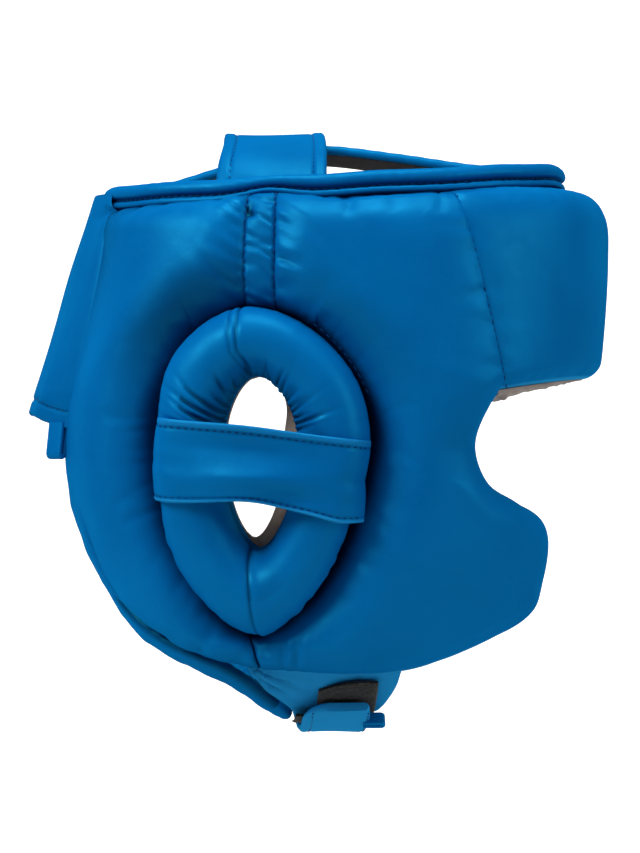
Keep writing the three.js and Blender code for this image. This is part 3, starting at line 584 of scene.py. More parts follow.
padGrid = {"across": 64, "inner": 10, "earThick": 20, "earShare": 0.08, "earRoll": 23, "lowSeamShare": 0.86,
           "lowSeamRoll": 4, "fullness": 2.2, "cornerMm": 12, "blendMm": 6, "least": 1.6, "leastFolded": 1.4,
           "coarse": (3, 2), "swellMost": 1.7, "edgeSlack": 0.18, "slackFrom": (0.45, 0.9)}
padFolds = {"roundEar": (8, 0.5, 9, 1.6, 0.3, 0), "underRim": (9, 0.6, 9, 1.8, 0.3, 0),
            "gatherFrom": (-0.6, 2.4), "gatherAbove": -80, "seamBelow": (165, 180), "slow": 0.6,
            "slowMm": 75, "dentMm": 3.4, "dentWide": 2.2}
# painted shade on the side and rear pads where a pad runs thin, down in folds and on the slope into the ear's
# seam; painted highlight along the free low edge
padShade = {"height": (16, 4), "fold": (0.9, 2.8), "foldShare": 0.8, "earReach": (27, 8), "earSpread": 0.52,
            "rubbedAndLitFrom": (0.95, 0.985), "rubbedAndLitBelow": (184, 200), "rubbedAndLit": 0.95, "share": 0.92}
weltDraw = {"share": 0.62, "under": (6.0, 1.8), "ahead": (16, 38)}
lowBend = {"shift": -3.3, "z": -209, "span": 11, "most": 1.2, "middle": -5, "width": 24, "below": (178, 190)}
turnedEdge = [(0.45, 0.8), (0.5, 0.5), (-0.1, 0.2), (-1.4, 0.02)]  # outward push, share of the pad's height


def edgeTrace(rows, count):
    return traceRows(edgeColumns, rows, count)


def underRim(rows, count):
    traced = edgeTrace([(r[0], padTop(np.array(r[0])), *r[2:]) for r in rows], count)
    traced["z"] = padTop(traced["forward"])
    return traced


def fixTop(rows, which):  # a row that ends under the rim takes its height from there
    return [(r[0], float(padTop(np.array(r[0]))), *r[2:]) if k == which else r for k, r in enumerate(rows)]


def dropLast(trace):
    return {name: values[:-1] for name, values in trace.items()}


def sideEdge(counts):
    return joinTraces(dropLast(underRim(sidePad["top"], counts[0])),
                      dropLast(edgeTrace(fixTop(sidePad["seam"], 0), counts[1])),
                      edgeTrace(sidePad["face"], counts[2]))


def rearEdge(counts):
    return joinTraces(dropLast(edgeTrace(rearPad["low"], counts[0])),
                      dropLast(edgeTrace(fixTop(rearPad["back"], 2), counts[1])),
                      underRim(rearPad["top"], counts[2]))


def seamPlace(forward, z):
    angle, _ = earPolar(forward, z)
    upright = easeStep(np.cos(angle - math.pi / 2), gusset["uprightFrom"], 1)
    aside = np.arcsin(np.clip((forward - ear["ahead"]) / ear["top"], -1, 1))
    turned = lerp(angle, math.pi / 2 - aside, upright)
    return earPlace(turned, earReach(turned) + seamGap)


def segmentDistance(end, forward, z):
    runF, runZ = end["toF"] - end["fromF"], end["toZ"] - end["fromZ"]
    f, h = forward - end["fromF"], z - end["fromZ"]
    share = np.clip((f * runF + h * runZ) / (runF ** 2 + runZ ** 2), 0, 1)
    return np.hypot(f - share * runF, h - share * runZ)


def lineDistance(line, forward, z):  # distance to a traced line, with the line's columns at the nearest place
    runF, runZ = np.diff(line["forward"]), np.diff(line["z"])
    f, h = forward[..., None] - line["forward"][:-1], z[..., None] - line["z"][:-1]
    t = np.clip((f * runF + h * runZ) / (runF ** 2 + runZ ** 2), 0, 1)
    distance = np.hypot(f - t * runF, h - t * runZ)
    k = distance.argmin(-1)[..., None]
    at = (k + np.take_along_axis(t, k, -1))[..., 0]
    found = {name: np.interp(at, np.arange(len(values)), values) for name, values in line.items()}
    return np.take_along_axis(distance, k, -1)[..., 0], found


def softMin(a, b, reach):
    near = np.maximum(reach - np.abs(a - b), 0) / reach
    return np.minimum(a, b) - near ** 2 * reach / 4


def earDistance(forward, z):
    angle, reach = earPolar(forward, z)
    seam = earReach(angle)
    slope = (earReach(angle + 0.01) - earReach(angle - 0.01)) / 0.02 / seam
    return np.maximum((reach - seam - seamGap) / np.hypot(1, slope), 0)


def padField(pad, forward, z):  # height of a pad's outer face before any folds
    fromEar = earDistance(forward, z)
    weight = 1 / (fromEar + padGrid["blendMm"]) ** 2
    thick, total, distance, shares, rolls, blend = padGrid["earThick"] * weight, weight, None, 0, 0, 0
    for line in pad["lines"]:
        away, found = lineDistance(line, forward, z)
        weight = 1 / (away + padGrid["blendMm"]) ** 2
        thick, total = thick + found["thick"] * weight, total + weight
        near = 1 / (away + 1) ** 3
        shares, rolls, blend = shares + found["share"] * near, rolls + found["roll"] * near, blend + near
        distance = away if distance is None else softMin(distance, away, padGrid["cornerMm"])
    left = rollOff(fromEar, padGrid["earRoll"], padGrid["earShare"], padGrid["fullness"])
    left = left * rollOff(np.maximum(distance, 0), rolls / blend, shares / blend, padGrid["fullness"])
    for end in pad["ends"].values():
        left = left * rollOff(segmentDistance(end, forward, z), end["width"], end["share"])
    return thick / total * left


def underWelt(forward, z):  # in front of the ear the covers are drawn down below the rim's welt
    near = easeStep(padTop(forward) - z, *weltDraw["under"])
    return 1 - weltDraw["share"] * near * easeStep(forward, *weltDraw["ahead"])


def padEnd(edge, index, width, share):
    toF, toZ = edge["forward"][index], edge["z"][index]
    fromF, fromZ = seamPlace(toF, toZ)
    return {"fromF": float(fromF), "fromZ": float(fromZ), "toF": toF, "toZ": toZ,
            "width": width, "share": share}


def padSolid(pad, folds, seed):  # outer face, turned edge and inner face of a pad, as closed loops
    edge, t = pad["edge"], endCrowded(padGrid["across"])[None, :]
    fromF, fromZ = seamPlace(edge["forward"], edge["z"])
    forward = lerp(fromF[:, None], edge["forward"][:, None], t)
    z = lerp(fromZ[:, None], edge["z"][:, None], t)
    height = np.maximum(padField(pad, forward, z) * underWelt(forward, z), padGrid["least"])
    fold = folds(forward, z, seed)
    bend = lowBend["shift"] * np.clip((z - lowBend["z"]) / lowBend["span"], 0, lowBend["most"]) ** 2
    bend = bend * hump(forward, lowBend["middle"], lowBend["width"]) * easeStep(-z, *lowBend["below"])
    outer = shell(forward + bend, z, np.maximum(height + fold, padGrid["leastFolded"]))
    firm = edge["free"][:, None] * easeStep(t, *padGrid["slackFrom"])  # firm along the open edges
    swollen = stuff(pad["name"], outer, *padGrid["coarse"], padGrid["swellMost"])
    outer = outer + swollen * lerp(1, padGrid["edgeSlack"], firm)[..., None]
    length = np.hypot(edge["forward"] - fromF, edge["z"] - fromZ)
    unitF, unitZ = (edge["forward"] - fromF) / length, (edge["z"] - fromZ) / length
    wall = []
    for push, lift in turnedEdge:
        shift = np.where(push > 0, push * edge["free"], push)
        wall.append(shell(edge["forward"] + unitF * shift, edge["z"] + unitZ * shift, height[:, -1] * lift))
    back = np.linspace(0.96, 0.02, padGrid["inner"])[None, :]
    inner = shell(lerp(forward[:, :1], forward[:, -1:], back), lerp(z[:, :1], z[:, -1:], back), 0.0)
    points = np.concatenate([outer, np.stack(wall, 1), inner], 1)
    # painted shade: darker where the pad is low, in its folds and on the upper slope into the ear
    inFold = padShade["foldShare"] * easeStep(-fold, *padShade["fold"])
    around = hump(earPolar(forward, z)[0], pad["shadeAngle"], padShade["earSpread"])
    byEar = pad["earShade"] * easeStep(earDistance(forward, z), *padShade["earReach"]) * around
    valley = np.maximum(np.maximum(easeStep(height, *padShade["height"]), inFold), byEar)
    # painted highlight, with some rubbing: a paler line along the free low edge, carried round onto the
    # turned edge
    rubbedAndLit = edge["free"][:, None] * easeStep(t, *padShade["rubbedAndLitFrom"])
    rubbedAndLit = rubbedAndLit * easeStep(-z, *padShade["rubbedAndLitBelow"]) * padShade["rubbedAndLit"]
    rest = np.zeros((len(forward), len(wall) + padGrid["inner"]))
    turnedRubbedAndLit = np.concatenate([np.repeat(rubbedAndLit[:, -1:], 2, 1), rest[:, 2:]], 1)
    return points, np.concatenate([valley, rest], 1), np.concatenate([rubbedAndLit, turnedRubbedAndLit], 1)


def alongEar(forward, z):  # distance round the ear's seam, from below the ear
    angle, _ = earPolar(forward, z)
    return ((angle + math.pi / 2) % (2 * math.pi)) * earRound


def stitchDents(z, fromSeam):
    return np.cos(z * 2 * math.pi / padFolds["dentMm"]) * hump(fromSeam, 0, padFolds["dentWide"])


def sharedFolds(pad, forward, z, seed):  # off the gusset, round the ear, under the rim and along the low seam
    fromGusset, fromLow = (segmentDistance(pad["ends"][end], forward, z) for end in ("gusset", "low"))
    gather = puckers(z, fromGusset, pad["gather"], seed) * easeStep(fromGusset, *padFolds["gatherFrom"])
    roundEar = puckers(alongEar(forward, z), earDistance(forward, z), padFolds["roundEar"], seed + 1)
    belowRim = puckers(forward, np.maximum(padTop(forward) - z, 0), padFolds["underRim"], seed + 2)
    lowSeam = puckers(z, fromLow, pad["lowSeam"], seed + pad["lowSeed"])
    lowSeam = lowSeam * easeStep(-z, *padFolds["seamBelow"])
    slow = padFolds["slow"] * swell(shell(forward, z, 0), padFolds["slowMm"], seed + 4)
    return gather * (z > padFolds["gatherAbove"]) + roundEar + belowRim + lowSeam + slow


def sideFolds(forward, z, seed):
    fromBrow = segmentDistance(sidePad["ends"]["brow"], forward, z)
    browPull = puckers(z, fromBrow, sidePad["browPull"], seed + 5)
    leaning = forward - sidePad["tuckLean"] * (z - sidePad["tuckFoot"])
    tucks = sum(deep * hump(leaning, at, sidePad["tuckWide"]) for at, deep in sidePad["tucks"])
    tucks = tucks * hump(z, sidePad["tuckZ"], sidePad["tuckTall"])
    dents = sidePad["stitchDent"] * stitchDents(z, fromBrow)
    return sharedFolds(sidePad, forward, z, seed) + dents + browPull + tucks


def rearFolds(forward, z, seed):
    fromEdge, _ = lineDistance(rearPad["lines"][0], forward, z)
    lowEdge = puckers(alongEar(forward, z), fromEdge, rearPad["lowEdge"], seed + 3)
    fromGroove, _ = lineDistance(rearPad["grooveLine"], forward, z)
    sewnIn = -rearPad["grooveDeep"] * hump(fromGroove, 0, rearPad["grooveWide"])
    sewnIn = sewnIn * easeStep(-z, *rearPad["grooveBelow"])
    return sharedFolds(rearPad, forward, z, seed) + lowEdge * easeStep(-z, *rearPad["edgeBelow"]) + sewnIn


sidePad["edge"] = sideEdge(sidePad["stations"])
rearPad["edge"] = rearEdge(rearPad["stations"])
sidePad["lines"] = [underRim(sidePad["top"], 50), edgeTrace(sidePad["face"], 120)]
rearLow = joinTraces(dropLast(edgeTrace(rearPad["low"], 50)), edgeTrace(fixTop(rearPad["back"], 2), 40))
rearPad["lines"] = [rearLow, underRim(rearPad["top"], 50)]
rearPad["grooveLine"] = traceRows(("forward", "z"), rearPad["groove"], 40)
browEnd = {"fromF": browSeam["topForward"], "fromZ": float(padTop(np.array(browSeam["topForward"]))),
           "toF": browSeam["footForward"], "toZ": browSeam["footZ"],
           "width": browSeam["roll"], "share": browSeam["share"]}
for pad, atGusset, atLow in ((sidePad, 0, -1), (rearPad, -1, 0)):
    pad["ends"] = {"gusset": padEnd(pad["edge"], atGusset, gusset["endRoll"], gusset["endShare"]),
                   "low": padEnd(pad["edge"], atLow, padGrid["lowSeamRoll"], padGrid["lowSeamShare"])}
sidePad["ends"]["brow"] = browEnd

for side, seed in (("right", 11), ("left", 41)):
    for pad, folds, padSeed in ((sidePad, sideFolds, seed), (rearPad, rearFolds, seed + 100)):
        points, valley, rubbedAndLit = padSolid(pad, folds, padSeed)
        piece = dressNode(f"{pad['name']}_{side}", "cover", onSide(side, points),
                          creaseDepth=valley * padShade["share"], wear=rubbedAndLit)
print("side and rear pads made")


# forehead pad: stations from one brow seam round to the other

brow = {"thick": 22, "topShare": 0.22, "topRoll": 20, "topFullness": 2.4, "topDrop": 1.4, "footShare": 0.68,
        "footRoll": 7, "footZ": -91, "lip": 7, "stations": 240, "across": 64, "endShare": 0.985,
        "endRoll": 2.5, "fill": 0.9, "middleThin": 0.04, "footLean": 0.08, "leanFull": 0.45,
        "seamInset": 0.12, "swellMost": 0.7, "rimPull": (12, 0.4, 11, 2.2, 0.3, 0),
        "footPull": (9, 0.35, 9, 2.0, 0.3, 0), "stitchDent": 0.22, "slow": 0.5, "slowMm": 90,
        "weltUpTo": (0.02, 0.3), "shade": 0.6, "shadeFrom": 1.6, "rubbedAndLit": 0.75, "rubbedAndLitFrom": (1.6, 0.2),
        "rubbedAndLitTurn": (0.9, 0.5)}
liningWall = {"gap": 0.6, "thickness": 2, "holeMargin": 5.0, "lowMargin": 3.6, "lowShift": 2.2,
              "seamInset": 1, "edgeInset": 1.5, "stations": 260, "lipRows": 12,
              "pulled": (6, 1.3, 11, 1.4, 1.4, 0), "pulledMm": 9, "crumple": 0.9, "crumpleMm": 9,
              "browTall": 96, "sideWide": 225, "sideTall": 205}


def browPlaces(share, inset):  # share 0 and 2 are the two seams, 1 the middle
    half = 1 - np.abs(1 - share)
    top = lerp(browSeam["topForward"] + inset, browMiddle, half)
    foot = lerp(browSeam["footForward"] + inset, browMiddle, half)
    fromMiddle = (browMiddle - foot) / (browMiddle - browSeam["footForward"])
    footZ = brow["footZ"] + (browSeam["footZ"] - brow["footZ"]) * fromMiddle ** 2
    topZ = padTop(top) - brow["topDrop"] * half
    top, foot = (np.where(share > 1, 2 * browMiddle - place, place) for place in (top, foot))
    return top, foot, topZ, footZ, half


def browLip(half):  # how far the lining is turned out, most beside the seam
    return lerp(1.0, 0.12, np.clip(half * 1.15, 0, 1) ** 0.8)


def browLean(half, down):  # the front leans back towards its foot
    return 1 - easeStep(half, 0, brow["leanFull"]) * (brow["middleThin"] + brow["footLean"] * down ** 2)


def browPad():
    share = np.linspace(0, 2, brow["stations"])
    topF, footF, topZ, footZ, half = (v[:, None] for v in browPlaces(share, brow["seamInset"]))
    down = endCrowded(brow["across"])[None, :]
    forward, z, tall = lerp(topF, footF, down), lerp(topZ, footZ, down), topZ - footZ
    fromSeam = half * (browMiddle - browSeam["footForward"])
    height = brow["thick"] * rollOff(down * tall, brow["topRoll"], brow["topShare"], brow["topFullness"])
    height = height * rollOff((1 - down) * tall, brow["footRoll"], brow["footShare"])
    height = height * rollOff(fromSeam, brow["endRoll"], brow["endShare"]) * browLean(half, down)
    height = height * lerp(underWelt(forward, z), 1, easeStep(half, *brow["weltUpTo"]))
    dents = brow["stitchDent"] * stitchDents(z, fromSeam)
    slow = brow["slow"] * swell(shell(forward, z, 0), brow["slowMm"], 71)
    rimPull = puckers(forward, down * tall, brow["rimPull"], 72)
    footPull = puckers(forward, (1 - down) * tall, brow["footPull"], 73)
    outer = shell(forward, z, height + dents + slow + rimPull + footPull)
    outer = outer + stuff("forehead_pad", outer, *padGrid["coarse"], brow["swellMost"])
    lipDown = 1 + (brow["lip"] - liningWall["thickness"] - seamGap) * browLip(half) / tall
    inner = [shell(footF, topZ - tall * lerp(1.0, lipDown, k), height[:, -1:] * (1 - k) + 0.2)[:, 0]
             for k in (0.33, 0.66, 1.0)]
    inner += [shell(lerp(topF, footF, k), lerp(topZ, footZ, k), 0)[:, 0] for k in np.linspace(0.95, 0, 9)]
    rest = np.zeros((len(share), len(inner)))
    # painted shade: darker where the top roll runs thin under the rim
    valley = (1 - np.clip(height / brow["thick"] * brow["shadeFrom"], 0, 1)) * (down < 0.5)
    # painted highlight, with some rubbing: a paler line along the foot and its turned edge
    turned = rest.copy()
    turned[:, :2] = brow["rubbedAndLitTurn"]
    rubbedAndLit = np.concatenate([easeStep((1 - down) * tall, *brow["rubbedAndLitFrom"]), turned], 1) * brow["rubbedAndLit"]
    return np.concatenate([outer, np.stack(inner, 1)], 1), np.concatenate([valley, rest], 1), rubbedAndLit


points, valley, rubbedAndLit = browPad()
piece = dressNode("forehead_pad", "cover", points, creaseDepth=valley * brow["shade"], wear=rubbedAndLit)


# the forehead's lining goes down the inner face and turns out along the foot, where it is pulled into creases
def browLining():
    share = np.linspace(0, 2, liningWall["stations"])
    topF, footF, topZ, footZ, half = (v[:, None] for v in browPlaces(share, liningWall["seamInset"]))
    tall, turned = topZ - footZ, browLip(half)
    near, far = -liningWall["gap"], -liningWall["gap"] - liningWall["thickness"]
    edgeOut = brow["thick"] * brow["footShare"] * browLean(half, 1.0) - 0.6
    lip = np.linspace(0, 1, liningWall["lipRows"])

    def at(down, out, extra=0.0):
        f = lerp(topF, footF, np.clip(down, 0, 1))
        return shell(f, topZ - tall * down - extra, out)[:, 0]
    loops = [at(k, near) for k in np.linspace(0.0, 1.0, 10)]
    for k in lip:
        below = lerp(brow["lip"] - liningWall["thickness"], seamGap, k)
        loops.append(at(1 + below * turned / tall, lerp(near, edgeOut, k)))
    uneven = liningWall["crumple"] * swell(shell(footF, footZ, 0), liningWall["crumpleMm"], 75)
    for k in lip[::-1]:
        crumple = uneven * math.sin(math.pi * min(k * 1.1, 1))
        fromSeam = np.full_like(footF, liningWall["pulledMm"] * (1 - k))
        pulled = puckers(footF, fromSeam, liningWall["pulled"], 76)
        below = lerp(brow["lip"] + 0.4, seamGap + liningWall["thickness"], k)
        loops.append(at(1 + below * turned / tall, lerp(near, edgeOut, k), -(crumple + pulled) * turned))
    loops += [at(k, far) for k in np.linspace(1.0, 0.0, 10)]
    return np.stack(loops, 1)


piece = dressNode("forehead_lining", "cloth", browLining(), lining, "lining")
print("forehead made")


# gathered strip over the ear, flush with the pads between two rows of stitches

stitchLook = {"pitch": 3.3, "length": 2.3, "width": 0.62, "height": 0.45, "strapPitch": 2.9,
              "lengthShare": 0.7}
gussetLook = {"rows": 130, "across": 34, "inset": 0.1, "pull": (6.0, 1.5, 9, 1.3, 0.3, 0),
              "pullFrom": (-0.6, 1.8), "pullSlant": 0.45, "groove": 0.9, "grooveWide": 0.8, "bulge": 0.3,
              "hollow": 2.4, "hollowForward": -4.6, "hollowWide": 2.2, "hollowZ": -30.5, "hollowTall": 3.4,
              "shade": 0.9}


def gussetStrip(seed):
    t = endCrowded(gussetLook["across"])[None, :]
    forward = lerp(gusset["back"] + gussetLook["inset"], gusset["front"] - gussetLook["inset"], t)
    _, foot = seamPlace(forward, np.full_like(forward, ear["z"] + ear["top"]))
    up = np.linspace(0, 1, gussetLook["rows"])[:, None]
    z = lerp(foot + gussetLook["inset"], padTop(forward) - gussetLook["inset"], up)
    forward = forward + 0 * z
    backHeight = padField(rearPad, np.full_like(z, gusset["back"] - 0.3), z)
    frontHeight = padField(sidePad, np.full_like(z, gusset["front"] + 0.3), z)
    near = np.minimum(forward - gusset["back"], gusset["front"] - forward)
    height = lerp(backHeight, frontHeight, t) + gussetLook["bulge"] * np.sin(math.pi * t)
    pull = puckers(z + gussetLook["pullSlant"] * forward, near, gussetLook["pull"], seed)
    dent = 1 + 0.2 * np.cos(z * 2 * math.pi / stitchLook["pitch"])
    groove = gussetLook["groove"] * hump(near, 0, gussetLook["grooveWide"]) * dent
    hollow = hump(forward, gussetLook["hollowForward"], gussetLook["hollowWide"])
    hollow = gussetLook["hollow"] * hollow * hump(z, gussetLook["hollowZ"], gussetLook["hollowTall"])
    drawn = pull * easeStep(near, *gussetLook["pullFrom"]) - groove - hollow
    outer = shell(forward, z, np.maximum(height + drawn, padGrid["leastFolded"]))
    inner = shell(forward[:, ::-3], z[:, ::-3], 0.3)
    # painted shade: the whole strip a little darker, and darker still in its pulls, grooves and hollow
    low = 0.16 + 0.84 * easeStep(-drawn, 0.5, 2.4)
    return np.concatenate([outer, inner], 1), np.concatenate([low, np.zeros(inner.shape[:2])], 1)


for side, seed in (("right", 5), ("left", 6)):
    points, valley = gussetStrip(seed)
    dark = valley * gussetLook["shade"]
    dressNode(f"temple_gusset_{side}", "strip", onSide(side, points), creaseDepth=dark)


# ear pads: a stuffed ring, gathered round the hole, seamed at top and bottom and pressed in by the strap

earRing = {"crown": 25, "edge": 5, "fullness": 2.2, "backSqueeze": 4.1, "frontSqueeze": 1.4,
           "squeezeSpan": 28, "stations": 560, "across": 80, "pleats": 60, "pleatDepth": 1.3,
           "pleatReach": 22, "fill": 0.75, "topSeam": math.radians(94.6), "topSeamTurn": math.radians(7),
           "footSeam": math.radians(-90.5), "besideSeam": 0.062, "seamDepth": 0.6, "seamWidth": 0.6,
           "lineWidth": 0.5,
           "gatherShare": 0.74, "gatherMore": [(158, 34, 0.5), (22, 26, 0.16)],  # degrees, width, more
           "edgeCrease": (5.5, 0.7, 6, 1.5, 0.2, 0), "slow": 0.5, "slowMm": 60,
           "coarse": (4, 3), "swellMost": 0.8,
           "innerShade": 0.6, "innerShadeMm": 9, "innerShadeAngle": 2.5, "shade": 0.78}
earStrap = {"width": 31, "thickness": 2.6, "backZ": -124.2, "frontZ": -135, "reach": 44.5, "lift": 0.9,
            "frontInset": 0.9, "backInset": 2.5, "backSlant": 1.65, "frontSlant": 3.4, "hem": 2.7,
            "lowHem": 1.5, "stations": 170, "across": 44, "drag": (6, 0.5, 16, 1.5, 0.2, 0), "dragMm": 90,
            "hemHigh": 0.6, "groove": 0.45, "grooveAway": 0.3, "grooveWide": 0.5}


def strapZ(forward):
    share = (forward + earStrap["reach"]) / (2 * earStrap["reach"])
    return lerp(earStrap["backZ"], earStrap["frontZ"], share)


def ringEdge(angle):
    reach = earReach(angle) - seamGap
    forward, z = earPlace(angle, reach)
    span = earRing["squeezeSpan"] / earStrap["width"]
    press = easeStep(0.5 + span - np.abs(z - strapZ(forward)) / earStrap["width"], 0, span)
    return reach - np.where(np.cos(angle) < 0, earRing["backSqueeze"], earRing["frontSqueeze"]) * press


def ringDome(t):  # height of the ring's round back, from the hole to the seam
    return (1 - np.abs(2 * t - 1) ** earRing["fullness"]) ** (1 / earRing["fullness"])


def turnedFrom(angle, place):  # signed angle from a place, within half a turn
    return (angle - place + math.pi) % (2 * math.pi) - math.pi


def ringPleats(angle, reach, fromHole, dice):  # gathers round the hole, longest at the upper back
    upper = earRing["gatherShare"]
    for degrees, wide, more in earRing["gatherMore"]:
        upper = upper + more * hump(turnedFrom(angle, math.radians(degrees)), 0, math.radians(wide))
    upper = upper * (0.12 + 0.88 * easeStep(np.sin(angle), -0.35, 0.1))
    push = np.zeros_like(reach)
    for k in range(earRing["pleats"]):
        place = 2 * math.pi * (k + dice.uniform(-0.3, 0.3)) / earRing["pleats"]
        deep = earRing["pleatDepth"] * dice.uniform(0.45, 1.0)
        far = earRing["pleatReach"] * dice.uniform(0.6, 1.35)
        off = turnedFrom(angle, place + 0.004 * dice.uniform(-1, 1) * fromHole) * np.maximum(reach, 10)
        fold = hump(off, 0, 0.5 + 0.028 * fromHole) - 0.3 * hump(np.abs(off), 1.4, 0.8)
        push -= deep * upper * fold * np.exp(-(fromHole / (far * upper)) ** 4)
    return push


def earRingGrid(seed, opened):
    angle = np.linspace(0, 2 * math.pi, earRing["stations"], endpoint=False)[:, None]
    inner, edge = holeReach(angle) + opened, ringEdge(angle)
    t = endCrowded(earRing["across"])[None, :]
    reach = lerp(inner, edge, t)
    out = earRing["edge"] + (earRing["crown"] - earRing["edge"]) * ringDome(t) + 0 * angle
    forward, z = earPlace(angle, reach)
    base = shell(forward, z, out)
    steps = np.linalg.norm(np.diff(base, axis=1), axis=2)
    fromHole = np.concatenate([np.zeros((len(angle), 1)), np.cumsum(steps, 1)], 1)
    push = ringPleats(angle, reach, fromHole, np.random.default_rng(seed))
    topSeam = earRing["topSeam"] - earRing["topSeamTurn"] * (1 - easeStep(t, 0.0, 0.4))
    lines = np.zeros_like(out)
    for seam, deep in ((topSeam, 1.0), (topSeam + earRing["besideSeam"], 0.6), (earRing["footSeam"], 1.0)):
        off = turnedFrom(angle, seam) * reach
        push -= deep * earRing["seamDepth"] * hump(off, 0, earRing["seamWidth"])
        push += deep * 0.15 * hump(np.abs(off), 2.0, 1.3)
        lines = np.maximum(lines, deep * hump(off, 0, earRing["lineWidth"]))
    creased = puckers(angle * earRound + 0 * reach, edge - reach, earRing["edgeCrease"], seed + 1)
    push += creased * (0.2 + 0.8 * easeStep(-np.sin(angle + 0.6), 0, 0.6))
    push += earRing["slow"] * swell(base, earRing["slowMm"], seed + 2)
    top = pushOut(base, push, True, False, formNormal(forward, z))
    top = top + stuff("ear_pad", top, *earRing["coarse"], earRing["swellMost"], True)
    seam = earReach(angle) + seamGap - 0.05
    under = [shell(*earPlace(angle[:, 0], lerp(edge, seam, k)[:, 0]), high)
             for k, high in ((0.5, 3.0), (1.0, 1.6), (1.0, 0.4))]
    under += [shell(*earPlace(angle[:, 0], lerp(inner, edge, k)[:, 0]), 0.3) for k in (0.66, 0.33, 0.0)]
    # painted shade: darker where the ring runs low by its seam and the hole, along the seams, in the pleats,
    # and on the upper back inner face by the hole
    valley = np.where(t > 0.5, easeStep(out, 14, 4), easeStep(out, 9, 4))
    valley = np.maximum(np.maximum(valley, 0.8 * lines), easeStep(-push, 0.15, 0.95) * (t < 0.5))
    innerShade = hump(fromHole, 0, earRing["innerShadeMm"]) * (t < 0.5)
    innerShade = innerShade * easeStep(np.cos(angle - earRing["innerShadeAngle"]), 0.0, 0.9)
    valley = np.maximum(valley, earRing["innerShade"] * innerShade)
    valley = np.concatenate([valley, np.ones((len(angle), 3)), np.zeros((len(angle), 3))], 1)
    return np.concatenate([top, np.stack(under, 1)], 1), valley


# the far ring is drawn a little more open, because in the photo its edge doesn't show through the near hole
for side, seed, opened in (("right", 21, 0.0), ("left", 27, 8.5)):
    points, valley = earRingGrid(seed, opened)
    piece = dressNode(f"ear_pad_{side}", "cover", onSide(side, points), ring=True,
                      creaseDepth=valley * earRing["shade"])
print("ear pads made")


# ear straps: folded hems with a row of stitches, bridging the hole and going down into the ring's seam

strapTop = earRing["crown"] + earStrap["lift"] + earStrap["thickness"]


def strapOut(forward, z, rim, crown, kept):
    angle, reach = earPolar(forward, z)
    inner, edge = holeReach(angle), earReach(angle) - rim
    t = np.clip((reach - inner) / (edge - inner) * kept, 0.5, 1)
    return lerp(earRing["edge"] + 1, crown, ringDome(t))


def strapReach(side, z, rim):
    forward = np.full_like(z, side * earStrap["reach"])
    for _ in range(20):
        angle, reach = earPolar(forward, z)
        forward = forward + side * (earReach(angle) - rim - reach)
    return forward


def strapFace(along, across, under, crown):  # across -0.5 is the low edge
    s, a = np.broadcast_arrays(along[:, None], across[None, :])
    low, high = np.clip(-2 * a, 0, 1), np.clip(2 * a, 0, 1)
    sway = low * (2.7 * hump(s, 0.47, 0.2) - 1.2 * hump(s, 0.86, 0.1)) + high * 1.1 * hump(s, 0.42, 0.24)
    wide = a * earStrap["width"] * (1 - 0.035 * np.sin(math.pi * s))
    backEdge, frontEdge = strapZ(-earStrap["reach"]) + wide, strapZ(earStrap["reach"]) + wide
    backInset = earStrap["backInset"] + earStrap["backSlant"] * (1 - low + high)
    frontInset = earStrap["frontInset"] - earStrap["frontSlant"] * low
    back, front = strapReach(-1, backEdge, backInset + under), strapReach(1, frontEdge, frontInset + under)
    forward = lerp(back, front, s)
    lean = (earStrap["frontZ"] - earStrap["backZ"]) / (2 * earStrap["reach"])
    z = backEdge + lean * (forward + earStrap["reach"])
    rim = np.where(forward < 0, backInset, frontInset) + under
    kept = 1 - 0.07 * low * easeStep(s, 0.6, 1.0)  # the low front corner stays up over the pad
    return forward, z + sway, strapOut(forward, z, rim, crown, kept)


def earStrapGrid(seed):
    along, across = endCrowded(earStrap["stations"]), endCrowded(earStrap["across"]) - 0.5
    forward, z, top = strapFace(along, across, 0, strapTop)
    s, a = along[:, None], across[None, :]
    fromEdge = (0.5 - np.abs(a)) * earStrap["width"] + 0 * s
    hemWidth = np.where(a > 0, earStrap["hem"], earStrap["lowHem"])
    hem = earStrap["hemHigh"] * (1 - easeStep(fromEdge, hemWidth - 0.9, hemWidth))
    hem = hem * easeStep(fromEdge, -0.2, 0.8)
    groove = hump(fromEdge, hemWidth + earStrap["grooveAway"], earStrap["grooveWide"])
    belly = 3.2 * hump(s, 0.47, 0.23) * hump(a - 0.25 * (s - 0.45), -0.14, 0.17)
    belly = belly - 1.7 * hump(s, 0.42, 0.24) * hump(a, 0.24, 0.13)
    belly = belly - 1.6 * hump(s, 0.62, 0.14) * hump(a - 0.5 * (s - 0.62), -0.36, 0.1)
    fromEnd = np.minimum(s, 1 - s) * earStrap["dragMm"]
    drag = puckers(a * earStrap["width"] + 0 * s, fromEnd, earStrap["drag"], seed)
    topPoints = shell(forward, z, top + hem - earStrap["groove"] * groove + belly + drag)
    lowF, lowZ, low = strapFace(along, across[::-4], earStrap["thickness"], strapTop - earStrap["thickness"])
    edges = 0.5 - np.abs(across[::-4])[None, :]
    under = shell(lowF, lowZ, low + np.where(edges < 0.02, 0.5, 0.0))
    # painted highlight, with some rubbing: paler along both hem edges; painted shade down in the stitch
    # groove
    rubbedAndLit = easeStep(fromEdge, hemWidth, hemWidth - 0.8) * np.where(a > 0, 0.2, 0.34)
    rest = np.zeros(under.shape[:2])
    rubbedAndLit, darker = (np.concatenate([shade, rest], 1) for shade in (rubbedAndLit, groove * 0.3))
    return np.concatenate([topPoints, under], 1), rubbedAndLit, darker


for side, seed in (("right", 31), ("left", 33)):
    points, rubbedAndLit, darker = earStrapGrid(seed)
    dressNode(f"ear_strap_{side}", "band", onSide(side, points), sharp=40, creaseDepth=darker, wear=rubbedAndLit)
print("ear straps made")


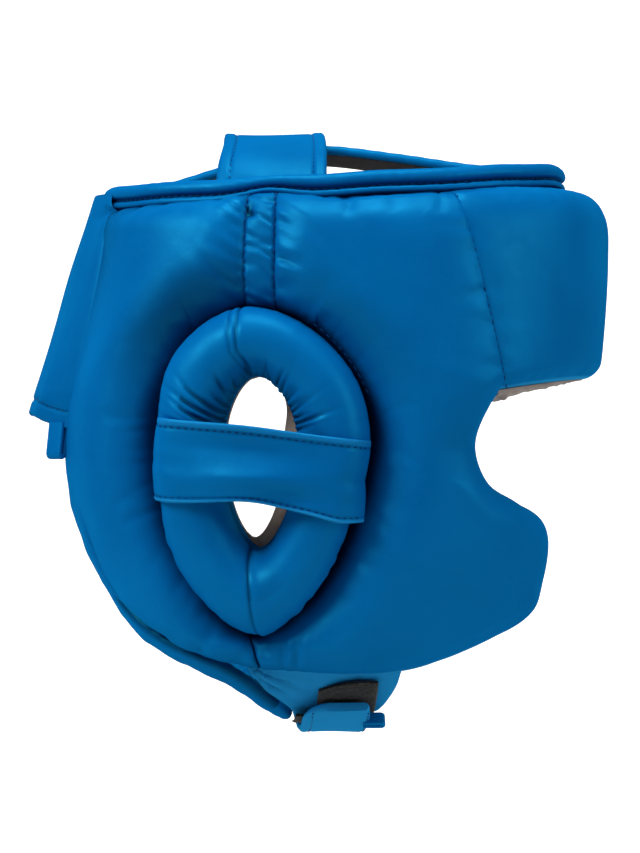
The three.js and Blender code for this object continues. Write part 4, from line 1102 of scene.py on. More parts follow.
# lining of each side, with the ear hole through it

def sideLiningGrid(opened):
    edge = joinTraces(dropLast(sideEdge((24, 20, 64))), rearEdge((34, 28, 24)))
    angle, _ = earPolar(edge["forward"], edge["z"])
    fromF, fromZ = seamPlace(edge["forward"], edge["z"])
    below = easeStep(-np.sin(angle), 0.35, 0.9)
    ahead = liningWall["holeMargin"] * easeStep(np.cos(angle + 0.3), 0.25, 0.95)
    margin = lerp(ahead, liningWall["lowMargin"], below)
    holeF, holeZ = earPlace(angle, holeReach(angle) + opened - margin)
    holeF = holeF - liningWall["lowShift"] * below
    unit = np.hypot(edge["forward"] - fromF, edge["z"] - fromZ)
    inset = liningWall["edgeInset"] * edge["free"] / unit
    steps = [(lerp(holeF, fromF, k), lerp(holeZ, fromZ, k)) for k in (0, 0.12, 0.5)]
    steps += [(lerp(fromF, edge["forward"], k * (1 - inset)), lerp(fromZ, edge["z"], k * (1 - inset)))
              for k in np.linspace(0, 1, 14)]
    f, z = (np.stack(column, 1) for column in zip(*steps))
    near = shell(f, z, -liningWall["gap"])
    soft = 0.5 * swell(near, 26, 81)
    far = shell(f, z, -liningWall["gap"] - liningWall["thickness"] - 0.3 + soft * 0.6)
    return np.concatenate([near[:, ::-1], far], 1)


for side, opened in (("right", 0.0), ("left", 10.0)):
    points = onSide(side, sideLiningGrid(opened))
    piece = dressNode(f"side_lining_{side}", "cloth", points, sideLiningLightened, "lining", ring=True)


# crown rim: a rolled edge over a flat welt, sewn between the two

rim = {"stations": 420, "sides": 48, "seamUp": -6.3, "seamOut": 2.95, "seamRise": 0.63,
       "rollCrease": (6, 0.32, 5, 1.3, 0.6, 0), "weltCrease": (6.5, 0.25, 3, 1.2, 0.4, 0),
       "profile": [(0.3, -9.8), (2.4, -10.0), (3.9, -9.5), (4.4, -8.4), (4.0, -7.3), (2.3, -6.6),
                   (2.4, -6.0), (4.2, -5.4), (5.1, -4.4), (5.3, -3.0), (4.9, -1.6), (3.9, -0.5),
                   (2.6, 0.0), (1.2, -0.3), (0.4, -1.4), (0.2, -5.0)]}  # out, up


def closedCurve(corners, count):  # smooth closed loop through a few corners
    corners = np.asarray(corners, float)
    at = np.linspace(0, len(corners), count, endpoint=False)
    i, t = at.astype(int), (at % 1)[:, None]
    p = [corners[(i + k) % len(corners)] for k in (-1, 0, 1, 2)]
    return 0.5 * (2 * p[1] + (p[2] - p[0]) * t + (2 * p[0] - 5 * p[1] + 4 * p[2] - p[3]) * t ** 2
                  + (3 * p[1] - p[0] - 3 * p[2] + p[3]) * t ** 3)


def rimWave(forward):  # the rim isn't sewn on quite evenly
    return (0.35 * np.sin(forward / 17.0) + 0.25 * np.sin(forward / 7.3 + 1.0)) * 0.8


def rimGrid():
    around = np.linspace(browMiddle, 2 * backMiddle - browMiddle, rim["stations"], endpoint=False)
    forward = around[:, None]
    out, up = closedCurve(rim["profile"], rim["sides"]).T[:, None]
    squash = rimRise(forward) * np.clip(-up / rimLine["height"], 0, 1)
    level = rimTop(forward) + up + rimWave(forward) + squash
    base = shell(forward, level, out + 0.12 * np.sin(forward / 5.1))
    upper = easeStep(up, -6.2, -4.5) * (out > 2)
    lower = (1 - easeStep(up, -7.0, -6.0)) * (out > 2)
    along = forward + 0 * out
    ripple = upper * puckers(along, np.abs(up + 6.2) + 0 * forward, rim["rollCrease"], 91)
    ripple = ripple + lower * puckers(along, np.abs(up + 6.4) + 0 * forward, rim["weltCrease"], 92)
    # painted shade: darker in the stitch groove between roll and welt, and under the welt
    dark = 0.85 * hump(up, rim["seamUp"], 0.7) * (out > 1.5) + 0.9 * easeStep(-up, 8.9, 9.8)
    points = pushOut(base, ripple, True, True, formNormal(forward, rimTop(forward)) + 0 * base)
    return points, np.broadcast_to(dark, points.shape[:2])


points, dark = rimGrid()
dressNode("crown_rim", "binding", points, ring=True, creaseDepth=dark)
print("crown rim made")


# crown straps: the long one has bound edges and a dark underside, the cross one plain sewn hems

longStrap = {"halfWidth": 21, "thickness": 3, "bead": 1.3, "beadWidth": 5, "stations": 150, "across": 60,
             "line": [(98.6, -8), (94, -5), (65, -2.8), (32, 1.6), (0, 4.8), (-22, 2.6), (-45, -5),
                      (-66, -11.5), (-80, -14.6), (-84, -19.6)]}  # x, z
crossStrap = {"x": -23.2, "halfWidth": 22.6, "thickness": 3, "hem": 5.5, "hemHigh": 0.4, "stations": 170,
              "across": 64, "lean": 2.6, "narrowing": 0.06, "leanFrom": (-12, 10), "shade": 0.12,
              "top": (0, 11.6), "half": [(69.3, -21), (66.2, -12), (56, -2.5), (38, 6.5), (18, 11)]}  # y, z
crossStrap["line"] = [(-y, z) for y, z in crossStrap["half"]] + [crossStrap["top"]] + crossStrap["half"][::-1]


def strapLine(rows, count):
    rows = np.asarray(rows, float)
    along = runLength(*rows.T)
    at = np.linspace(0, along[-1], count)
    first, second = smoothColumn(along, rows[:, 0], at), smoothColumn(along, rows[:, 1], at)
    tangent = np.stack([np.gradient(first, at), np.gradient(second, at)], 1)
    tangent /= np.linalg.norm(tangent, axis=1, keepdims=True)
    return first, second, -tangent[:, 1], tangent[:, 0]


def roundedBand(halfWidth, thickness, count):  # section of a flat band: across, up
    half = thickness / 2
    arc = np.linspace(-math.pi / 2, math.pi / 2, 7)
    right = np.stack([halfWidth - half + half * np.cos(arc), half * np.sin(arc)], 1)
    level = np.linspace(halfWidth - half, half - halfWidth, count)[1:-1]
    top = np.stack([level, np.full(count - 2, half)], 1)
    return np.concatenate([right, top, -right, -top])


def strapSection(strap):
    return roundedBand(strap["halfWidth"], strap["thickness"], strap["across"])


def longStrapGrid():
    x, z, nx, nz = strapLine(longStrap["line"], longStrap["stations"])
    nx, nz = np.where(nz < 0, -nx, nx), np.abs(nz)
    across, up = strapSection(longStrap).T
    fromEdge = longStrap["halfWidth"] - np.abs(across)
    onBead = np.clip(fromEdge / longStrap["beadWidth"], 0, 1)
    bead = longStrap["bead"] * np.sin(math.pi * onBead) ** 0.7 * (up > 0)
    sunk = 0.25 * (up > 0) * (fromEdge > longStrap["beadWidth"] + 0.5)
    at = np.linspace(0, 1, len(x))[:, None]
    ripple = 0.07 * np.sin(at * 140 + 0.2 * across) * (fromEdge < longStrap["beadWidth"]) * (up > 0)
    lift = up + bead - sunk + ripple
    px, pz = x[:, None] + nx[:, None] * lift, z[:, None] + nz[:, None] * lift
    reach = smoothColumn(form["z"], form["half"], z)[:, None]
    follow = lerp(1, planNarrowing(across, reach), np.abs(px) / plan["front"])
    return np.stack(np.broadcast_arrays(px * follow, across, pz), -1)


points = longStrapGrid()
faces = cappedFaces(*points.shape[:2])
under = np.tile(strapSection(longStrap)[:, 1] < 0.2, len(points))
beneath = under & (np.abs(points[..., 1].reshape(-1)) < longStrap["halfWidth"] - 0.4)
dark = [int(len(f) == 4 and all(beneath[k] for k in f)) for f in faces]
piece = meshPiece("crown_strap_long_band", points, faces, [blueLeather, blackPile], faceMaterial=dark)
stand(piece, "leather", "crown_strap_long")


def crossStrapGrid():
    y, z, ny, nz = strapLine(crossStrap["line"], crossStrap["stations"])
    across, up = strapSection(crossStrap).T
    fromEdge = crossStrap["halfWidth"] - np.abs(across)
    hem = 1 - easeStep(fromEdge, crossStrap["hem"] - 1, crossStrap["hem"])
    hem = hem - hump(fromEdge, crossStrap["hem"], 0.7)
    at = (np.linspace(-1, 1, len(y)) * 90)[:, None]
    slow = 0.5 * np.sin(at / 21 + 0.08 * across)
    lift = up + (crossStrap["hemHigh"] * hem + slow) * (up > 0)
    high = easeStep(z, *crossStrap["leanFrom"])[:, None]
    px = crossStrap["x"] + crossStrap["lean"] * high + across * (1 - crossStrap["narrowing"] * high)
    py, pz = y[:, None] + ny[:, None] * lift, z[:, None] + nz[:, None] * lift
    foot = np.clip(np.abs(py) / crossStrap["half"][0][0], 0, 1)
    reach = smoothColumn(form["z"], form["back"], z)[:, None]
    follow = lerp(1, planNarrowing(px, reach), foot)
    return np.stack(np.broadcast_arrays(px, py * follow, pz), -1)


points = crossStrapGrid()
# painted shade: the whole cross strap is darkened a little
dressNode("crown_strap_cross", "band", points, creaseDepth=np.full(points.shape[:2], crossStrap["shade"]))
print("crown straps made")


# back flap with its sewn hem, and the tape loop on it

flap = {"thickness": 3.4, "hemThickness": 4.6, "hemHeight": 7, "columns": 90, "rows": 100,
        "z": [-14.2, -22, -60, -97, -99, -108], "x": [-98, -100.4, -111.8, -123.2, -123.8, -126.4],
        "half": [28, 33, 43, 46, 46, 44], "bow": [100, 100, 102, 105, 106, 110], "cornerDrop": 6.0,
        "cornerFrom": 0.45, "laid": (0.6, 0.95), "groove": 0.7, "sideRoll": 15.0,
        "footRoll": 2.2, "shade": 0.17}
backTab = {"width": 9, "length": 15, "thickness": 4.6, "share": -0.87, "down": 0.985,
           "lean": -0.12, "wall": 2.1}


def flapX(z, y):
    return smoothColumn(flap["z"], flap["x"], z) + y * y / (2 * smoothColumn(flap["z"], flap["bow"], z))


def flapFoot(share):  # the corners hang lower than the middle
    return flap["z"][-1] - flap["cornerDrop"] * easeStep(np.abs(share), flap["cornerFrom"], 1.0)


def rearSurface(y, z):  # the rear pad's outer face, found at a place seen from behind
    forward, level = np.full(y.shape, -78.0), z.copy()
    for _ in range(14):
        here = shell(forward, level, padField(rearPad, forward, level))
        slope = (shell(forward + 0.5, level, padField(rearPad, forward + 0.5, level)) - here)[..., 1] / 0.5
        step = (here[..., 1] + np.abs(y)) / np.where(slope > -0.25, -0.25, slope)
        forward = np.clip(forward - np.clip(step, -5, 5), -86, -45)
        level = np.clip(level - (here[..., 2] - z), -150, -20)
    return shell(forward, level, padField(rearPad, forward, level))[..., 0]


def flapFaces(down, share):  # outer and inner face; the side edges lie on the rear pads
    foot = flapFoot(share)
    z = lerp(flap["z"][0], foot, down)
    half = smoothColumn(flap["z"], flap["half"], z)
    y, fromSide, fromFoot = share * half, (1 - np.abs(share)) * half, z - foot
    inHem = 1 - easeStep(fromFoot, flap["hemHeight"] - 1, flap["hemHeight"])
    thick = lerp(flap["thickness"], flap["hemThickness"], inHem)
    groove = flap["groove"] * hump(fromFoot, flap["hemHeight"], 0.8)
    roundEdge = np.minimum(rollOff(fromSide, flap["sideRoll"], 0.0), rollOff(fromFoot, flap["footRoll"], 0.0))
    laid = easeStep(np.abs(share), *flap["laid"])
    wave = 0.7 * np.sin(y / 19 + z / 31) + 0.4 * np.sin(z / 13 + 1)
    free = flapX(z, y) + thick / 2 + wave * easeStep(-z, 20, 60) * (1 - laid)
    sunk = 0.7 * easeStep(np.abs(share), 0.9, 1.0) - 0.3
    middle = lerp(free, rearSurface(y, z) + sunk - thick / 2 * roundEdge, laid)
    outer = np.stack(np.broadcast_arrays(middle - (thick / 2 - groove) * roundEdge, y, z), -1)
    inner = np.stack(np.broadcast_arrays(middle + thick / 2 * roundEdge, y, z), -1)
    # painted shade in the groove above the hem
    return outer, inner, hump(fromFoot, flap["hemHeight"], 0.7) * 0.6


down, share = np.meshgrid(endCrowded(flap["rows"]), np.linspace(-1, 1, flap["columns"]), indexing="ij")
outer, inner, darker = flapFaces(down, share)
# painted shade: the whole flap a little darker, more in the hem's groove
shade = np.concatenate([np.maximum(darker, flap["shade"]), 0 * darker], 1)
dressNode("back_flap", "panel", np.concatenate([outer, inner[:, ::-1]], 1), creaseDepth=shade)


def tapeLoop(tab, count=40):  # a folded tape: hairpin section, swept over its width
    half, wall = tab["thickness"] / 2, tab["wall"]
    run, bend = tab["length"] - half, half - wall / 2
    line = [(-bend, 0.0), (-bend, -run * 0.5)]
    for a in np.linspace(math.pi, 2 * math.pi, 17):
        line.append((bend * math.cos(a) * 1.05, -run + bend * math.sin(a) * 1.3))
    line += [(bend, -run * 0.5), (bend, 0.0)]
    first, second, nx, nz = strapLine(line, count)
    loops = [np.stack([first + nx * up, np.full(count, across), second + nz * up], 1)
             for across, up in roundedBand(tab["width"] / 2, wall, 14)]
    return np.stack(loops, 1)


points = turnPoints(tapeLoop(backTab), 0, 2, backTab["lean"])
hemOuter, hemInner, _ = flapFaces(np.full(2, backTab["down"]), backTab["share"] + np.array([-0.03, 0.03]))
hemLine = hemOuter[1] - hemOuter[0]
points = turnPoints(points, 0, 1, math.atan2(-hemLine[0], hemLine[1]))  # the tape lies along the hem
dressNode("back_pull_tab", "tape", points + (hemOuter + hemInner).mean(0) / 2)
print("back flap made")


# chin strap: the near piece with its folds, the far one lapping under it to a rounded end

chin = {"y": [0, 25, 44, 58, 66.5, 70.5, 73.5], "z": [-234.5, -232.6, -228, -221, -214, -209, -203],
        "back": [-12, -13, -17.5, -26, -32, -34, -35], "front": [20, 21.5, 25, 28.5, 30, 31, 31],
        "planAt": 66.5, "planReach": 80, "thickness": 3.6, "across": 54, "leftEndY": -57, "endRound": 13,
        "overlapStartY": 24, "overlapFullY": 3, "endOffset": 6.1, "lapNarrows": 0.12, "foldedFrom": 30,
        "fan": (9, 2.4, 26, 2.4, 0.2, 0), "top": (8, 1.0, 9, 1.8, 0.5, 0), "nearPaler": 0.5, "farPaler": 0.6,
        "sewnX": 5.5, "sewnAside": 11.5, "sewnWide": 0.7, "sewnDeep": 0.5, "sewnY": (-54, -10)}
loopPatch = {"outerY": 65, "innerY": 8, "back": -4, "front": 20.5, "offset": 2.5, "thickness": 1.4}
hookPatch = {"outerY": 42, "innerY": 12, "back": -12.6, "front": 17, "offset": 4.4, "thickness": 1.2}
pile = {"rows": 60, "rough": 0.12, "slant": 4.2, "slantFrom": 14, "slantSpan": 18}
chinTab = {"width": 6.6, "length": 9, "thickness": 3.6, "y": -44.0, "turn": 0.75, "reach": -4.5, "wall": 1.7}
chinHalf = chin["thickness"] / 2


def chinLevel(y):
    return smoothColumn(chin["y"], chin["z"], np.abs(y))


def chinEdge(y, column):
    return smoothColumn(chin["y"], chin[column], np.abs(y))


def chinPoint(x, y, offset):
    away = np.abs(y)
    rise = chinLevel(away + 0.5) - chinLevel(np.maximum(away - 0.5, 0))
    slope = rise / (0.5 + np.minimum(0.5, away))
    slope = np.where(away > chin["y"][-1] - 0.5, chinLevel(away) - chinLevel(away - 1), slope)
    scale = 1 / np.hypot(slope, 1)
    outer = away + slope * scale * offset
    follow = lerp(1, planNarrowing(x, chin["planReach"]), np.clip(away / chin["planAt"], 0, 1))
    return np.stack(np.broadcast_arrays(x, np.sign(y) * outer * follow, chinLevel(away) - scale * offset), -1)


# rounded band between two offsets from the chin line
def chinBand(y, back, front, low, high, bump=None, skew=None):
    t, up = roundedBand(0.5, 0.12, chin["across"]).T
    t, up = t + 0.5, np.clip(up / 0.12 + 0.5, 0, 1)
    back, front, low, high = (np.broadcast_to(edge, y.shape)[:, None] for edge in (back, front, low, high))
    x = lerp(back, front, t)
    y = y[:, None] + (0 * x if skew is None else skew(x))
    fold = 0 * x if bump is None else bump(x, y) * up
    # painted shade down in the folds
    return chinPoint(x, y, lerp(low, high, up) + fold), easeStep(-fold, 0.4, 2.2) * 0.8


def nearFolds(x, y):  # folds that fan out from the aft corner of the near piece
    away = np.abs(y)
    fromCorner = np.hypot(x + 32, (away - 66) * 1.2)
    fan = puckers(np.arctan2(away - 72, x + 38) * 60, np.maximum(fromCorner - 5, 0), chin["fan"], 97)
    top = puckers(x, np.maximum(70 - away, 0), chin["top"], 98)
    return fan + top + 0.5 * np.sin(x / 9 + away / 7)


def farFolds(x, y):
    sewn = chin["sewnDeep"] * hump(np.abs(x - chin["sewnX"]), chin["sewnAside"], chin["sewnWide"]) * (y < 5)
    return np.where(y > chin["foldedFrom"], nearFolds(x, y), 0.35 * np.sin(x / 8 + y / 11)) - sewn


def nearStrap():
    y = np.linspace(-chin["y"][-1], -0.01, 90)
    return chinBand(y, chinEdge(y, "back"), chinEdge(y, "front"), -chinHalf, chinHalf, nearFolds)


def farStrap():
    y = np.concatenate([np.linspace(chin["y"][-1], -30, 110), np.linspace(-30.8, chin["leftEndY"], 60)])
    lap = easeStep(chin["overlapStartY"] - y, 0, chin["overlapStartY"] - chin["overlapFullY"])
    offset = lap * (chin["endOffset"] + chinHalf)
    fromEnd = np.clip((y - chin["leftEndY"]) / chin["endRound"], 0, 1)
    rounding = 0.3 + 0.7 * np.sqrt(1 - (1 - fromEnd) ** 2.2)
    back, front = (chinEdge(np.maximum(y, 0), column) for column in ("back", "front"))
    middle, wide = (back + front) / 2, (front - back) / 2 * (1 - chin["lapNarrows"] * lap)
    back, front = middle - wide * rounding, middle + wide * lerp(rounding, 1, 0.85)
    return chinBand(y, back, front, offset - chinHalf, offset + chinHalf, farFolds)


# the chin strap pieces are drawn paler all over
for side, wear, (points, dark) in (("right", chin["nearPaler"], nearStrap()),
                                   ("left", chin["farPaler"], farStrap())):
    wornAndLit = np.full(points.shape[:2], wear)
    dressNode(f"chin_strap_{side}", "band", points, creaseDepth=dark, wear=wornAndLit)


def patchSlant(x):  # the loop patch ends aslant
    return pile["slant"] * (np.clip(pile["slantFrom"] - x, 0, pile["slantSpan"]) / pile["slantSpan"]) ** 2


for node, patch, slant in (("chin_loop_patch", loopPatch, patchSlant), ("chin_hook_patch", hookPatch, None)):
    y = np.linspace(-patch["outerY"], -patch["innerY"], pile["rows"])
    top = patch["offset"] + patch["thickness"]
    points, _ = chinBand(y, patch["back"], patch["front"], patch["offset"], top, skew=slant)
    points += pile["rough"] * np.random.default_rng(7).normal(size=points.shape)
    dressNode(node, "pile", points, blackPile, "hook_and_loop")

points = tapeLoop(chinTab)
points = np.stack([-points[..., 2], points[..., 1], points[..., 0]], -1)  # lies along +X
points = turnPoints(points, 1, 2, chinTab["turn"])
tabX, tabY = np.array(chin["front"][0] + chinTab["reach"]), np.array(chinTab["y"])
dressNode("chin_pull_tab", "tape", points + chinPoint(tabX, tabY, chin["endOffset"] + chinHalf))
print("chin strap made")


# neck binding: a soft roll along the low edge, then along the aft edge of the chin strap

binding = {"outRadius": 3.4, "edgeRadius": 4.8, "out": 3.8, "gap": 0.4, "stations": 260,
           "sides": 28, "fill": 0.5,
           "chinY": (63, 56, 46, 34, 18, 7, 0.3), "fullerAt": -63, "fullerSpan": 21, "fullerAside": 2.3,
           "fullerOut": 2.6, "tuckedIn": 1.3, "smoothings": 160, "lean": (-0.1, 0, -0.6),
           "ripple": (6, 0.5, 8, 1.3, 0.5, 0), "shade": 0.85}


def chinBack(y, offset):  # on the aft edge of the near chin piece
    return chinPoint(chinEdge(y, "back"), np.array(-y), offset)


def bindingLine():
    edge = rearEdge((10, 6, 8))
    f, z = edge["forward"][2:12], edge["z"][2:12]
    runF, runZ = np.gradient(f), np.gradient(z)
    stride = np.hypot(runF, runZ)
    away = binding["gap"] + binding["edgeRadius"]
    fuller = hump(f, binding["fullerAt"], binding["fullerSpan"])
    aside = away + binding["fullerAside"] * fuller
    out = binding["out"] + binding["fullerOut"] * fuller
    centres = list(shell(f - runZ / stride * aside, z + runF / stride * aside, out)[::-1])
    for y in binding["chinY"]:
        at = chinBack(y, 0.0)
        aft = np.cross(chinBack(y, 1.0) - at, chinBack(y + 1, 0.0) - chinBack(y - 1, 0.0))
        aft /= np.linalg.norm(aft)
        centres.append(at - aft * np.sign(aft[0]) * (away - binding["tuckedIn"] * easeStep(-y, -20, -7)))
    centres = np.array(centres)
    along = np.concatenate([[0], np.cumsum(np.linalg.norm(np.diff(centres, axis=0), axis=1))])
    at = np.linspace(0, along[-1], binding["stations"])
    line = np.stack([smoothColumn(along, centres[:, k], at) for k in range(3)], 1)
    for _ in range(binding["smoothings"]):  # no corner where the pad's edge ends
        line[1:-1] = (line[:-2] + 2 * line[1:-1] + line[2:]) / 4
    return line, at


def bindingGrid(seed):
    line, at = bindingLine()
    tangent = np.gradient(line, axis=0)
    tangent /= np.linalg.norm(tangent, axis=1, keepdims=True)
    outward = line * np.array([1, 1, 0])
    outward = outward / np.linalg.norm(outward, axis=1, keepdims=True) + np.array(binding["lean"])
    outward -= (outward * tangent).sum(1, keepdims=True) * tangent
    outward /= np.linalg.norm(outward, axis=1, keepdims=True)
    sideways = np.cross(tangent, outward)
    turn = np.linspace(0, 2 * math.pi, binding["sides"], endpoint=False)[None, :]
    squeeze = (1 + 0.05 * np.sin(at / 6.0) + 0.04 * np.sin(at / 2.7 + 1))[:, None, None]
    taper = np.clip(np.minimum(at / 6 + 0.35, (at[-1] - at) / 6 + 0.85), 0, 1)[:, None]
    ring = outward[:, None] * np.cos(turn)[..., None] * binding["outRadius"]
    ring = ring + sideways[:, None] * np.sin(turn)[..., None] * binding["edgeRadius"]
    points = line[:, None] + ring * squeeze * taper[..., None]
    fromBack = np.abs(turn - math.pi) * 3 + 0 * taper
    ripple = puckers(at[:, None] + 0 * turn, fromBack, binding["ripple"], seed)
    inward = np.sign((sideways * (shell(ear["ahead"], ear["z"], 10) - line)).sum(1))[:, None]
    # painted shade on the side of the roll that faces in towards the pad
    dark = easeStep(inward * np.sin(turn), 0.3, 0.95) * binding["shade"]
    return pushOut(points, ripple * taper, False, True, ring), dark


for side, seed in (("right", 51), ("left", 53)):
    points, dark = bindingGrid(seed)
    piece = dressNode(f"neck_binding_{side}", "roll", onSide(side, points), creaseDepth=dark)
print("neck binding made")


# stitches: one Geometry Nodes tree lays thread along every sewn line

def stitchTree():
    tree = bpy.data.node_groups.new("stitchRow", "GeometryNodeTree")
    tree.interface.new_socket("Geometry", in_out="INPUT", socket_type="NodeSocketGeometry")
    sockets = {}
    for label in ("Pitch", "Length", "Width", "Height"):
        socket = tree.interface.new_socket(label, in_out="INPUT", socket_type="NodeSocketFloat")
        socket.default_value = stitchLook[label.lower()] * mm
        sockets[label] = socket.identifier
    thing = tree.interface.new_socket("Thread", in_out="INPUT", socket_type="NodeSocketMaterial")
    sockets["Thread"] = thing.identifier
    tree.interface.new_socket("Geometry", in_out="OUTPUT", socket_type="NodeSocketGeometry")
    source = addNode(tree, "NodeGroupInput")
    line = addNode(tree, "GeometryNodeMeshToCurve", {"Mesh": source.outputs["Geometry"]})
    spaced = addNode(tree, "GeometryNodeResampleCurve", {
        "Curve": line.outputs["Curve"], "Length": source.outputs["Pitch"]}, mode="LENGTH")
    tangent = addNode(tree, "GeometryNodeInputTangent")
    faceOut = addNode(tree, "GeometryNodeInputNamedAttribute", {"Name": "faceOut"}, data_type="FLOAT_VECTOR")
    turn = addNode(tree, "FunctionNodeAxesToRotation", {
        "Primary Axis": faceOut.outputs["Attribute"], "Secondary Axis": tangent.outputs["Tangent"]},
        primary_axis="Z", secondary_axis="X")
    bead = addNode(tree, "GeometryNodeMeshUVSphere", {"Segments": 7, "Rings": 5, "Radius": 0.5})
    size = addNode(tree, "ShaderNodeCombineXYZ", {
        "X": source.outputs["Length"], "Y": source.outputs["Width"], "Z": source.outputs["Height"]})
    laid = addNode(tree, "GeometryNodeInstanceOnPoints", {
        "Points": spaced.outputs["Curve"], "Instance": bead.outputs["Mesh"],
        "Rotation": turn.outputs["Rotation"], "Scale": size.outputs["Vector"]})
    real = addNode(tree, "GeometryNodeRealizeInstances", {"Geometry": laid.outputs["Instances"]})
    smooth = addNode(tree, "GeometryNodeSetShadeSmooth", {"Geometry": real.outputs["Geometry"]})
    dressed = addNode(tree, "GeometryNodeSetMaterial", {
        "Geometry": smooth.outputs["Geometry"], "Material": source.outputs["Thread"]})
    addNode(tree, "NodeGroupOutput", {"Geometry": dressed.outputs["Geometry"]})
    return tree, sockets


tree, stitchSockets = stitchTree()


def sewnLines(name, runs, pitch=None):  # runs of (points, outward directions), in millimetres
    vertices, edges, outs = [], [], []
    for points, outward in runs:
        first = len(vertices)
        vertices += (np.asarray(points) * mm).tolist()
        outs += (outward / np.linalg.norm(outward, axis=1, keepdims=True)).tolist()
        edges += [(first + k, first + k + 1) for k in range(len(points) - 1)]
    mesh = bpy.data.meshes.new(name + "_line")
    mesh.from_pydata(vertices, edges, [])
    facing = mesh.attributes.new("faceOut", "FLOAT_VECTOR", "POINT")
    facing.data.foreach_set("vector", np.ravel(outs).astype(np.float32))
    row = linked(name + "_line", mesh)
    modifier = row.modifiers.new("stitches", "NODES")
    modifier.node_group = tree
    modifier[stitchSockets["Thread"]] = thread
    if pitch:
        modifier[stitchSockets["Pitch"]] = pitch * mm
        modifier[stitchSockets["Length"]] = pitch * mm * stitchLook["lengthShare"]
    graph = bpy.context.evaluated_depsgraph_get()
    laid = row.evaluated_get(graph)
    made = bpy.data.meshes.new_from_object(laid, preserve_all_data_layers=True, depsgraph=graph)
    made.name = name
    bpy.data.objects.remove(row)
    return stand(linked(name, made), "leather")


def bothSides(runs):
    return runs + [(mirrorY(p), mirrorY(n)) for p, n in runs]


# rows along the rim, between its roll and its welt
forward = np.linspace(browMiddle, 2 * backMiddle - browMiddle, 700)
level = rimTop(forward) + rim["seamUp"]
sewnAt = level + rimWave(forward) + rim["seamRise"] * rimRise(forward)
sewnLines("crown_rim_stitches", [(shell(forward, sewnAt, rim["seamOut"]), formNormal(forward, level))])

# rows beside the gusset, along the brow seam and round the ear's seam
runs = []
for place, beside, pad in ((gusset["front"] - 0.2, 0.5, sidePad), (gusset["back"] + 0.2, -0.5, rearPad)):
    z = np.linspace(ear["z"] + ear["top"] + 2.5, float(padTop(np.array(place))) - 2, 60)
    at = np.full_like(z, place)
    runs.append((shell(at, z, padField(pad, at + beside, z) - 0.5), formNormal(at, z)))
t = np.linspace(0.09, 0.985, 120)
seamF = lerp(browEnd["fromF"], browEnd["toF"], t) + 0.35
seamZ = lerp(browEnd["fromZ"], browEnd["toZ"], t)
seamOut = rollOff(browEnd["fromZ"] - seamZ, brow["topRoll"], brow["topShare"], brow["topFullness"])
runs.append((shell(seamF, seamZ, brow["thick"] * seamOut * 0.982), formNormal(seamF, seamZ)))
angle = np.linspace(math.radians(62), math.radians(24), 80)
f, z = earPlace(angle, earReach(angle) + 1.9)
runs.append((shell(f, z, padField(sidePad, f, z) + 0.1), formNormal(f, z)))
sewnLines("pad_seam_stitches", bothSides(runs))

# rows along the hems of the ear straps
runs = []
along = np.linspace(0.07, 0.95, 160)
hems = [(earStrap[hem] + earStrap["grooveAway"]) / earStrap["width"] for hem in ("hem", "lowHem")]
for a in (0.5 - hems[0], -0.5 + hems[1]):
    f, z, out = strapFace(along, np.array([a]), 0, strapTop)
    runs.append((shell(f, z, out - 0.42)[:, 0], formNormal(f, z)[:, 0]))
sewnLines("ear_strap_stitches", bothSides(runs), stitchLook["strapPitch"])


def hemColumns(strap, inset):  # columns of a strap's upper face that lie on its two rows of stitches
    across, up = strapSection(strap).T
    for want in (strap["halfWidth"] - inset, inset - strap["halfWidth"]):
        yield int(np.argmin(np.abs(across - want) + 100 * (up < 1)))


# rows along the crown straps, the flap's hem and the chin strap's end
runs = []
points = crossStrapGrid()
for column in hemColumns(crossStrap, crossStrap["hem"]):
    runs.append((points[:, column], np.array([0, 0, 1.0]) + points[:, column] * np.array([0, 0.008, 0])))
points = longStrapGrid()[4:-4]
for column in hemColumns(longStrap, longStrap["beadWidth"] + 0.4):
    runs.append((points[:, column], np.array([[0, 0, 1.0]] * len(points))))
sewnLines("crown_strap_stitches", runs)
share = np.linspace(-0.9, 0.9, 120)
points, _, _ = flapFaces(1 - flap["hemHeight"] / (flap["z"][0] - flapFoot(share)), share)
sewnLines("back_flap_stitches", [(points, np.stack([-np.ones_like(share), 0.5 * share, 0 * share], 1))])
runs = []
y = np.linspace(*chin["sewnY"], 60)
for x in (chin["sewnX"] - chin["sewnAside"], chin["sewnX"] + chin["sewnAside"]):
    out = chinPoint(np.full_like(y, x), y, chin["endOffset"] + chin["thickness"] - 0.25)
    runs.append((out, out - chinPoint(np.full_like(y, x), y, chin["endOffset"])))
sewnLines("chin_strap_stitches", runs)
print("stitches made")


# stage, light and camera

stage = {"floorZ": -0.42, "half": 4.0, "front": -3.0, "depth": 2.2, "bend": 0.8, "tall": 3.5,
         "paper": "#cfcfcd", "glow": 1.0, "glowFrom": 0.3, "glowFull": 0.65, "world": 0.07}
camera = {"distance": 1.1, "azimuth": -3.0, "elevation": -1.0, "target": (0.0, 0.0, -0.1124),
          "pixelsPerMm": 2.30, "sensor": 36.0, "longSide": 853}
lamps = [
    {"name": "leftBox", "at": (-1.0, -0.75, 0.75), "size": 0.8, "power": 15.5},
    {"name": "rightBox", "at": (1.15, -0.6, 0.3), "size": 0.8, "power": 5},
    {"name": "topBox", "at": (0.05, -0.25, 1.3), "size": 0.9, "power": 15.5},
]
white = (1.0, 1.0, 1.0, 1.0)


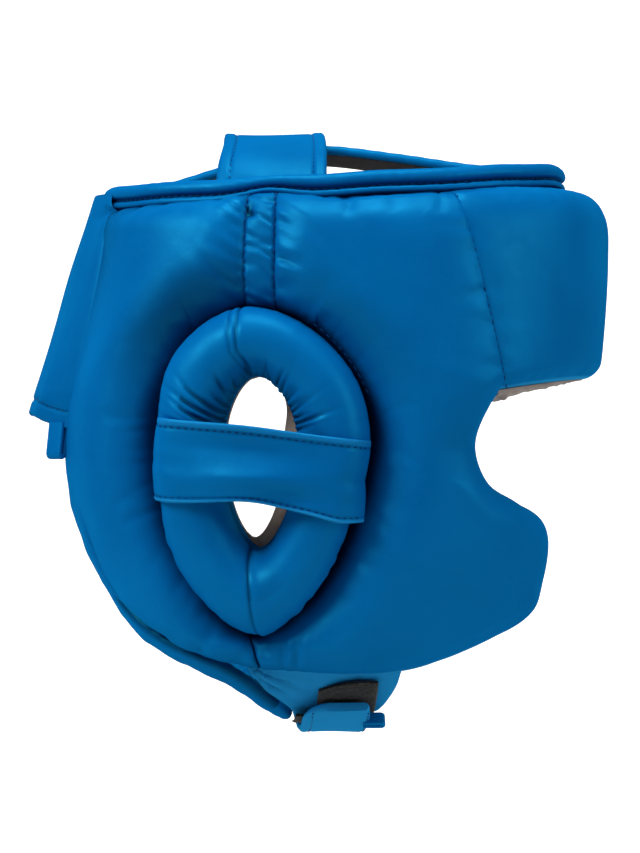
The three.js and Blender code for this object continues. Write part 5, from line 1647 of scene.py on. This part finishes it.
# matt white studio paper, lit through from behind past the object:
# an even pale ground with barely visible fibre
def studioPaper(name):
    material, tree = newMaterial(name)
    place = addNode(tree, "ShaderNodeTexCoord").outputs["Object"]
    fibre = addNode(tree, "ShaderNodeTexNoise", {"Vector": place, "Scale": 400.0, "Detail": 3.0})
    bump = addNode(tree, "ShaderNodeBump", {
        "Height": fibre.outputs["Fac"], "Strength": 0.05, "Distance": 0.0003})
    away = addNode(tree, "ShaderNodeSeparateXYZ", {"Vector": place})
    glow = addNode(tree, "ShaderNodeMapRange", {
        "Value": away.outputs["Y"], "From Min": stage["glowFrom"], "From Max": stage["glowFull"],
        "To Min": 0.0, "To Max": stage["glow"]})
    shader = addNode(tree, "ShaderNodeBsdfPrincipled", {
        "Base Color": toLinear(stage["paper"]), "Roughness": 0.9, "Normal": bump.outputs["Normal"],
        "Emission Color": white, "Emission Strength": glow.outputs["Result"]})
    addNode(tree, "ShaderNodeOutputMaterial", {"Surface": shader.outputs["BSDF"]})
    return material


flatEnd = stage["depth"] - stage["bend"]
sweep = [(stage["front"], 0.0), (flatEnd, 0.0)]
sweep += [(flatEnd + stage["bend"] * math.sin(a), stage["bend"] - stage["bend"] * math.cos(a))
          for a in np.linspace(0.1, math.pi / 2, 12)]
sweep += [(stage["depth"], stage["tall"])]
corners = [(sx * stage["half"], y, stage["floorZ"] + z) for y, z in sweep for sx in (-1, 1)]
floorMesh = bpy.data.meshes.new("floor")
floorMesh.from_pydata(corners, [], [(2 * k, 2 * k + 1, 2 * k + 3, 2 * k + 2) for k in range(len(sweep) - 1)])
floorMesh.polygons.foreach_set("use_smooth", [True] * len(floorMesh.polygons))
floorMesh.materials.append(studioPaper("studioPaperWhite"))
floor = linked("floor", floorMesh)

scene = bpy.context.scene
scene.view_settings.view_transform = "Standard"
world = bpy.data.worlds.new("studio")
world.use_nodes = True
world.node_tree.nodes["Background"].inputs["Color"].default_value = white
world.node_tree.nodes["Background"].inputs["Strength"].default_value = stage["world"]
scene.world = world


def aimAt(thing, spot, target):
    way = np.array(target) - np.array(spot)
    way = way / np.linalg.norm(way)
    side = np.cross(way, [0, 0, 1.0])
    side /= np.linalg.norm(side)
    up = np.cross(side, way)
    turn = np.eye(4)
    turn[:3, 0], turn[:3, 1], turn[:3, 2], turn[:3, 3] = side, up, -way, spot
    thing.matrix_world = Matrix(turn)


for lamp in lamps:
    light = bpy.data.lights.new(lamp["name"], "AREA")
    light.shape, light.size, light.energy = "DISK", lamp["size"], lamp["power"]
    aimAt(linked(lamp["name"], light), lamp["at"], camera["target"])

azimuth, elevation = math.radians(camera["azimuth"]), math.radians(camera["elevation"])
level = math.cos(elevation)
way = np.array([-math.sin(azimuth) * level, math.cos(azimuth) * level, -math.sin(elevation)])
lens = bpy.data.cameras.new("productCamera")
lens.sensor_width = camera["sensor"]
lens.lens = camera["pixelsPerMm"] * camera["distance"] / mm * camera["sensor"] / camera["longSide"]
viewer = linked("productCamera", lens)
aimAt(viewer, np.array(camera["target"]) - way * camera["distance"], camera["target"])
scene.camera = viewer
print("stage set")
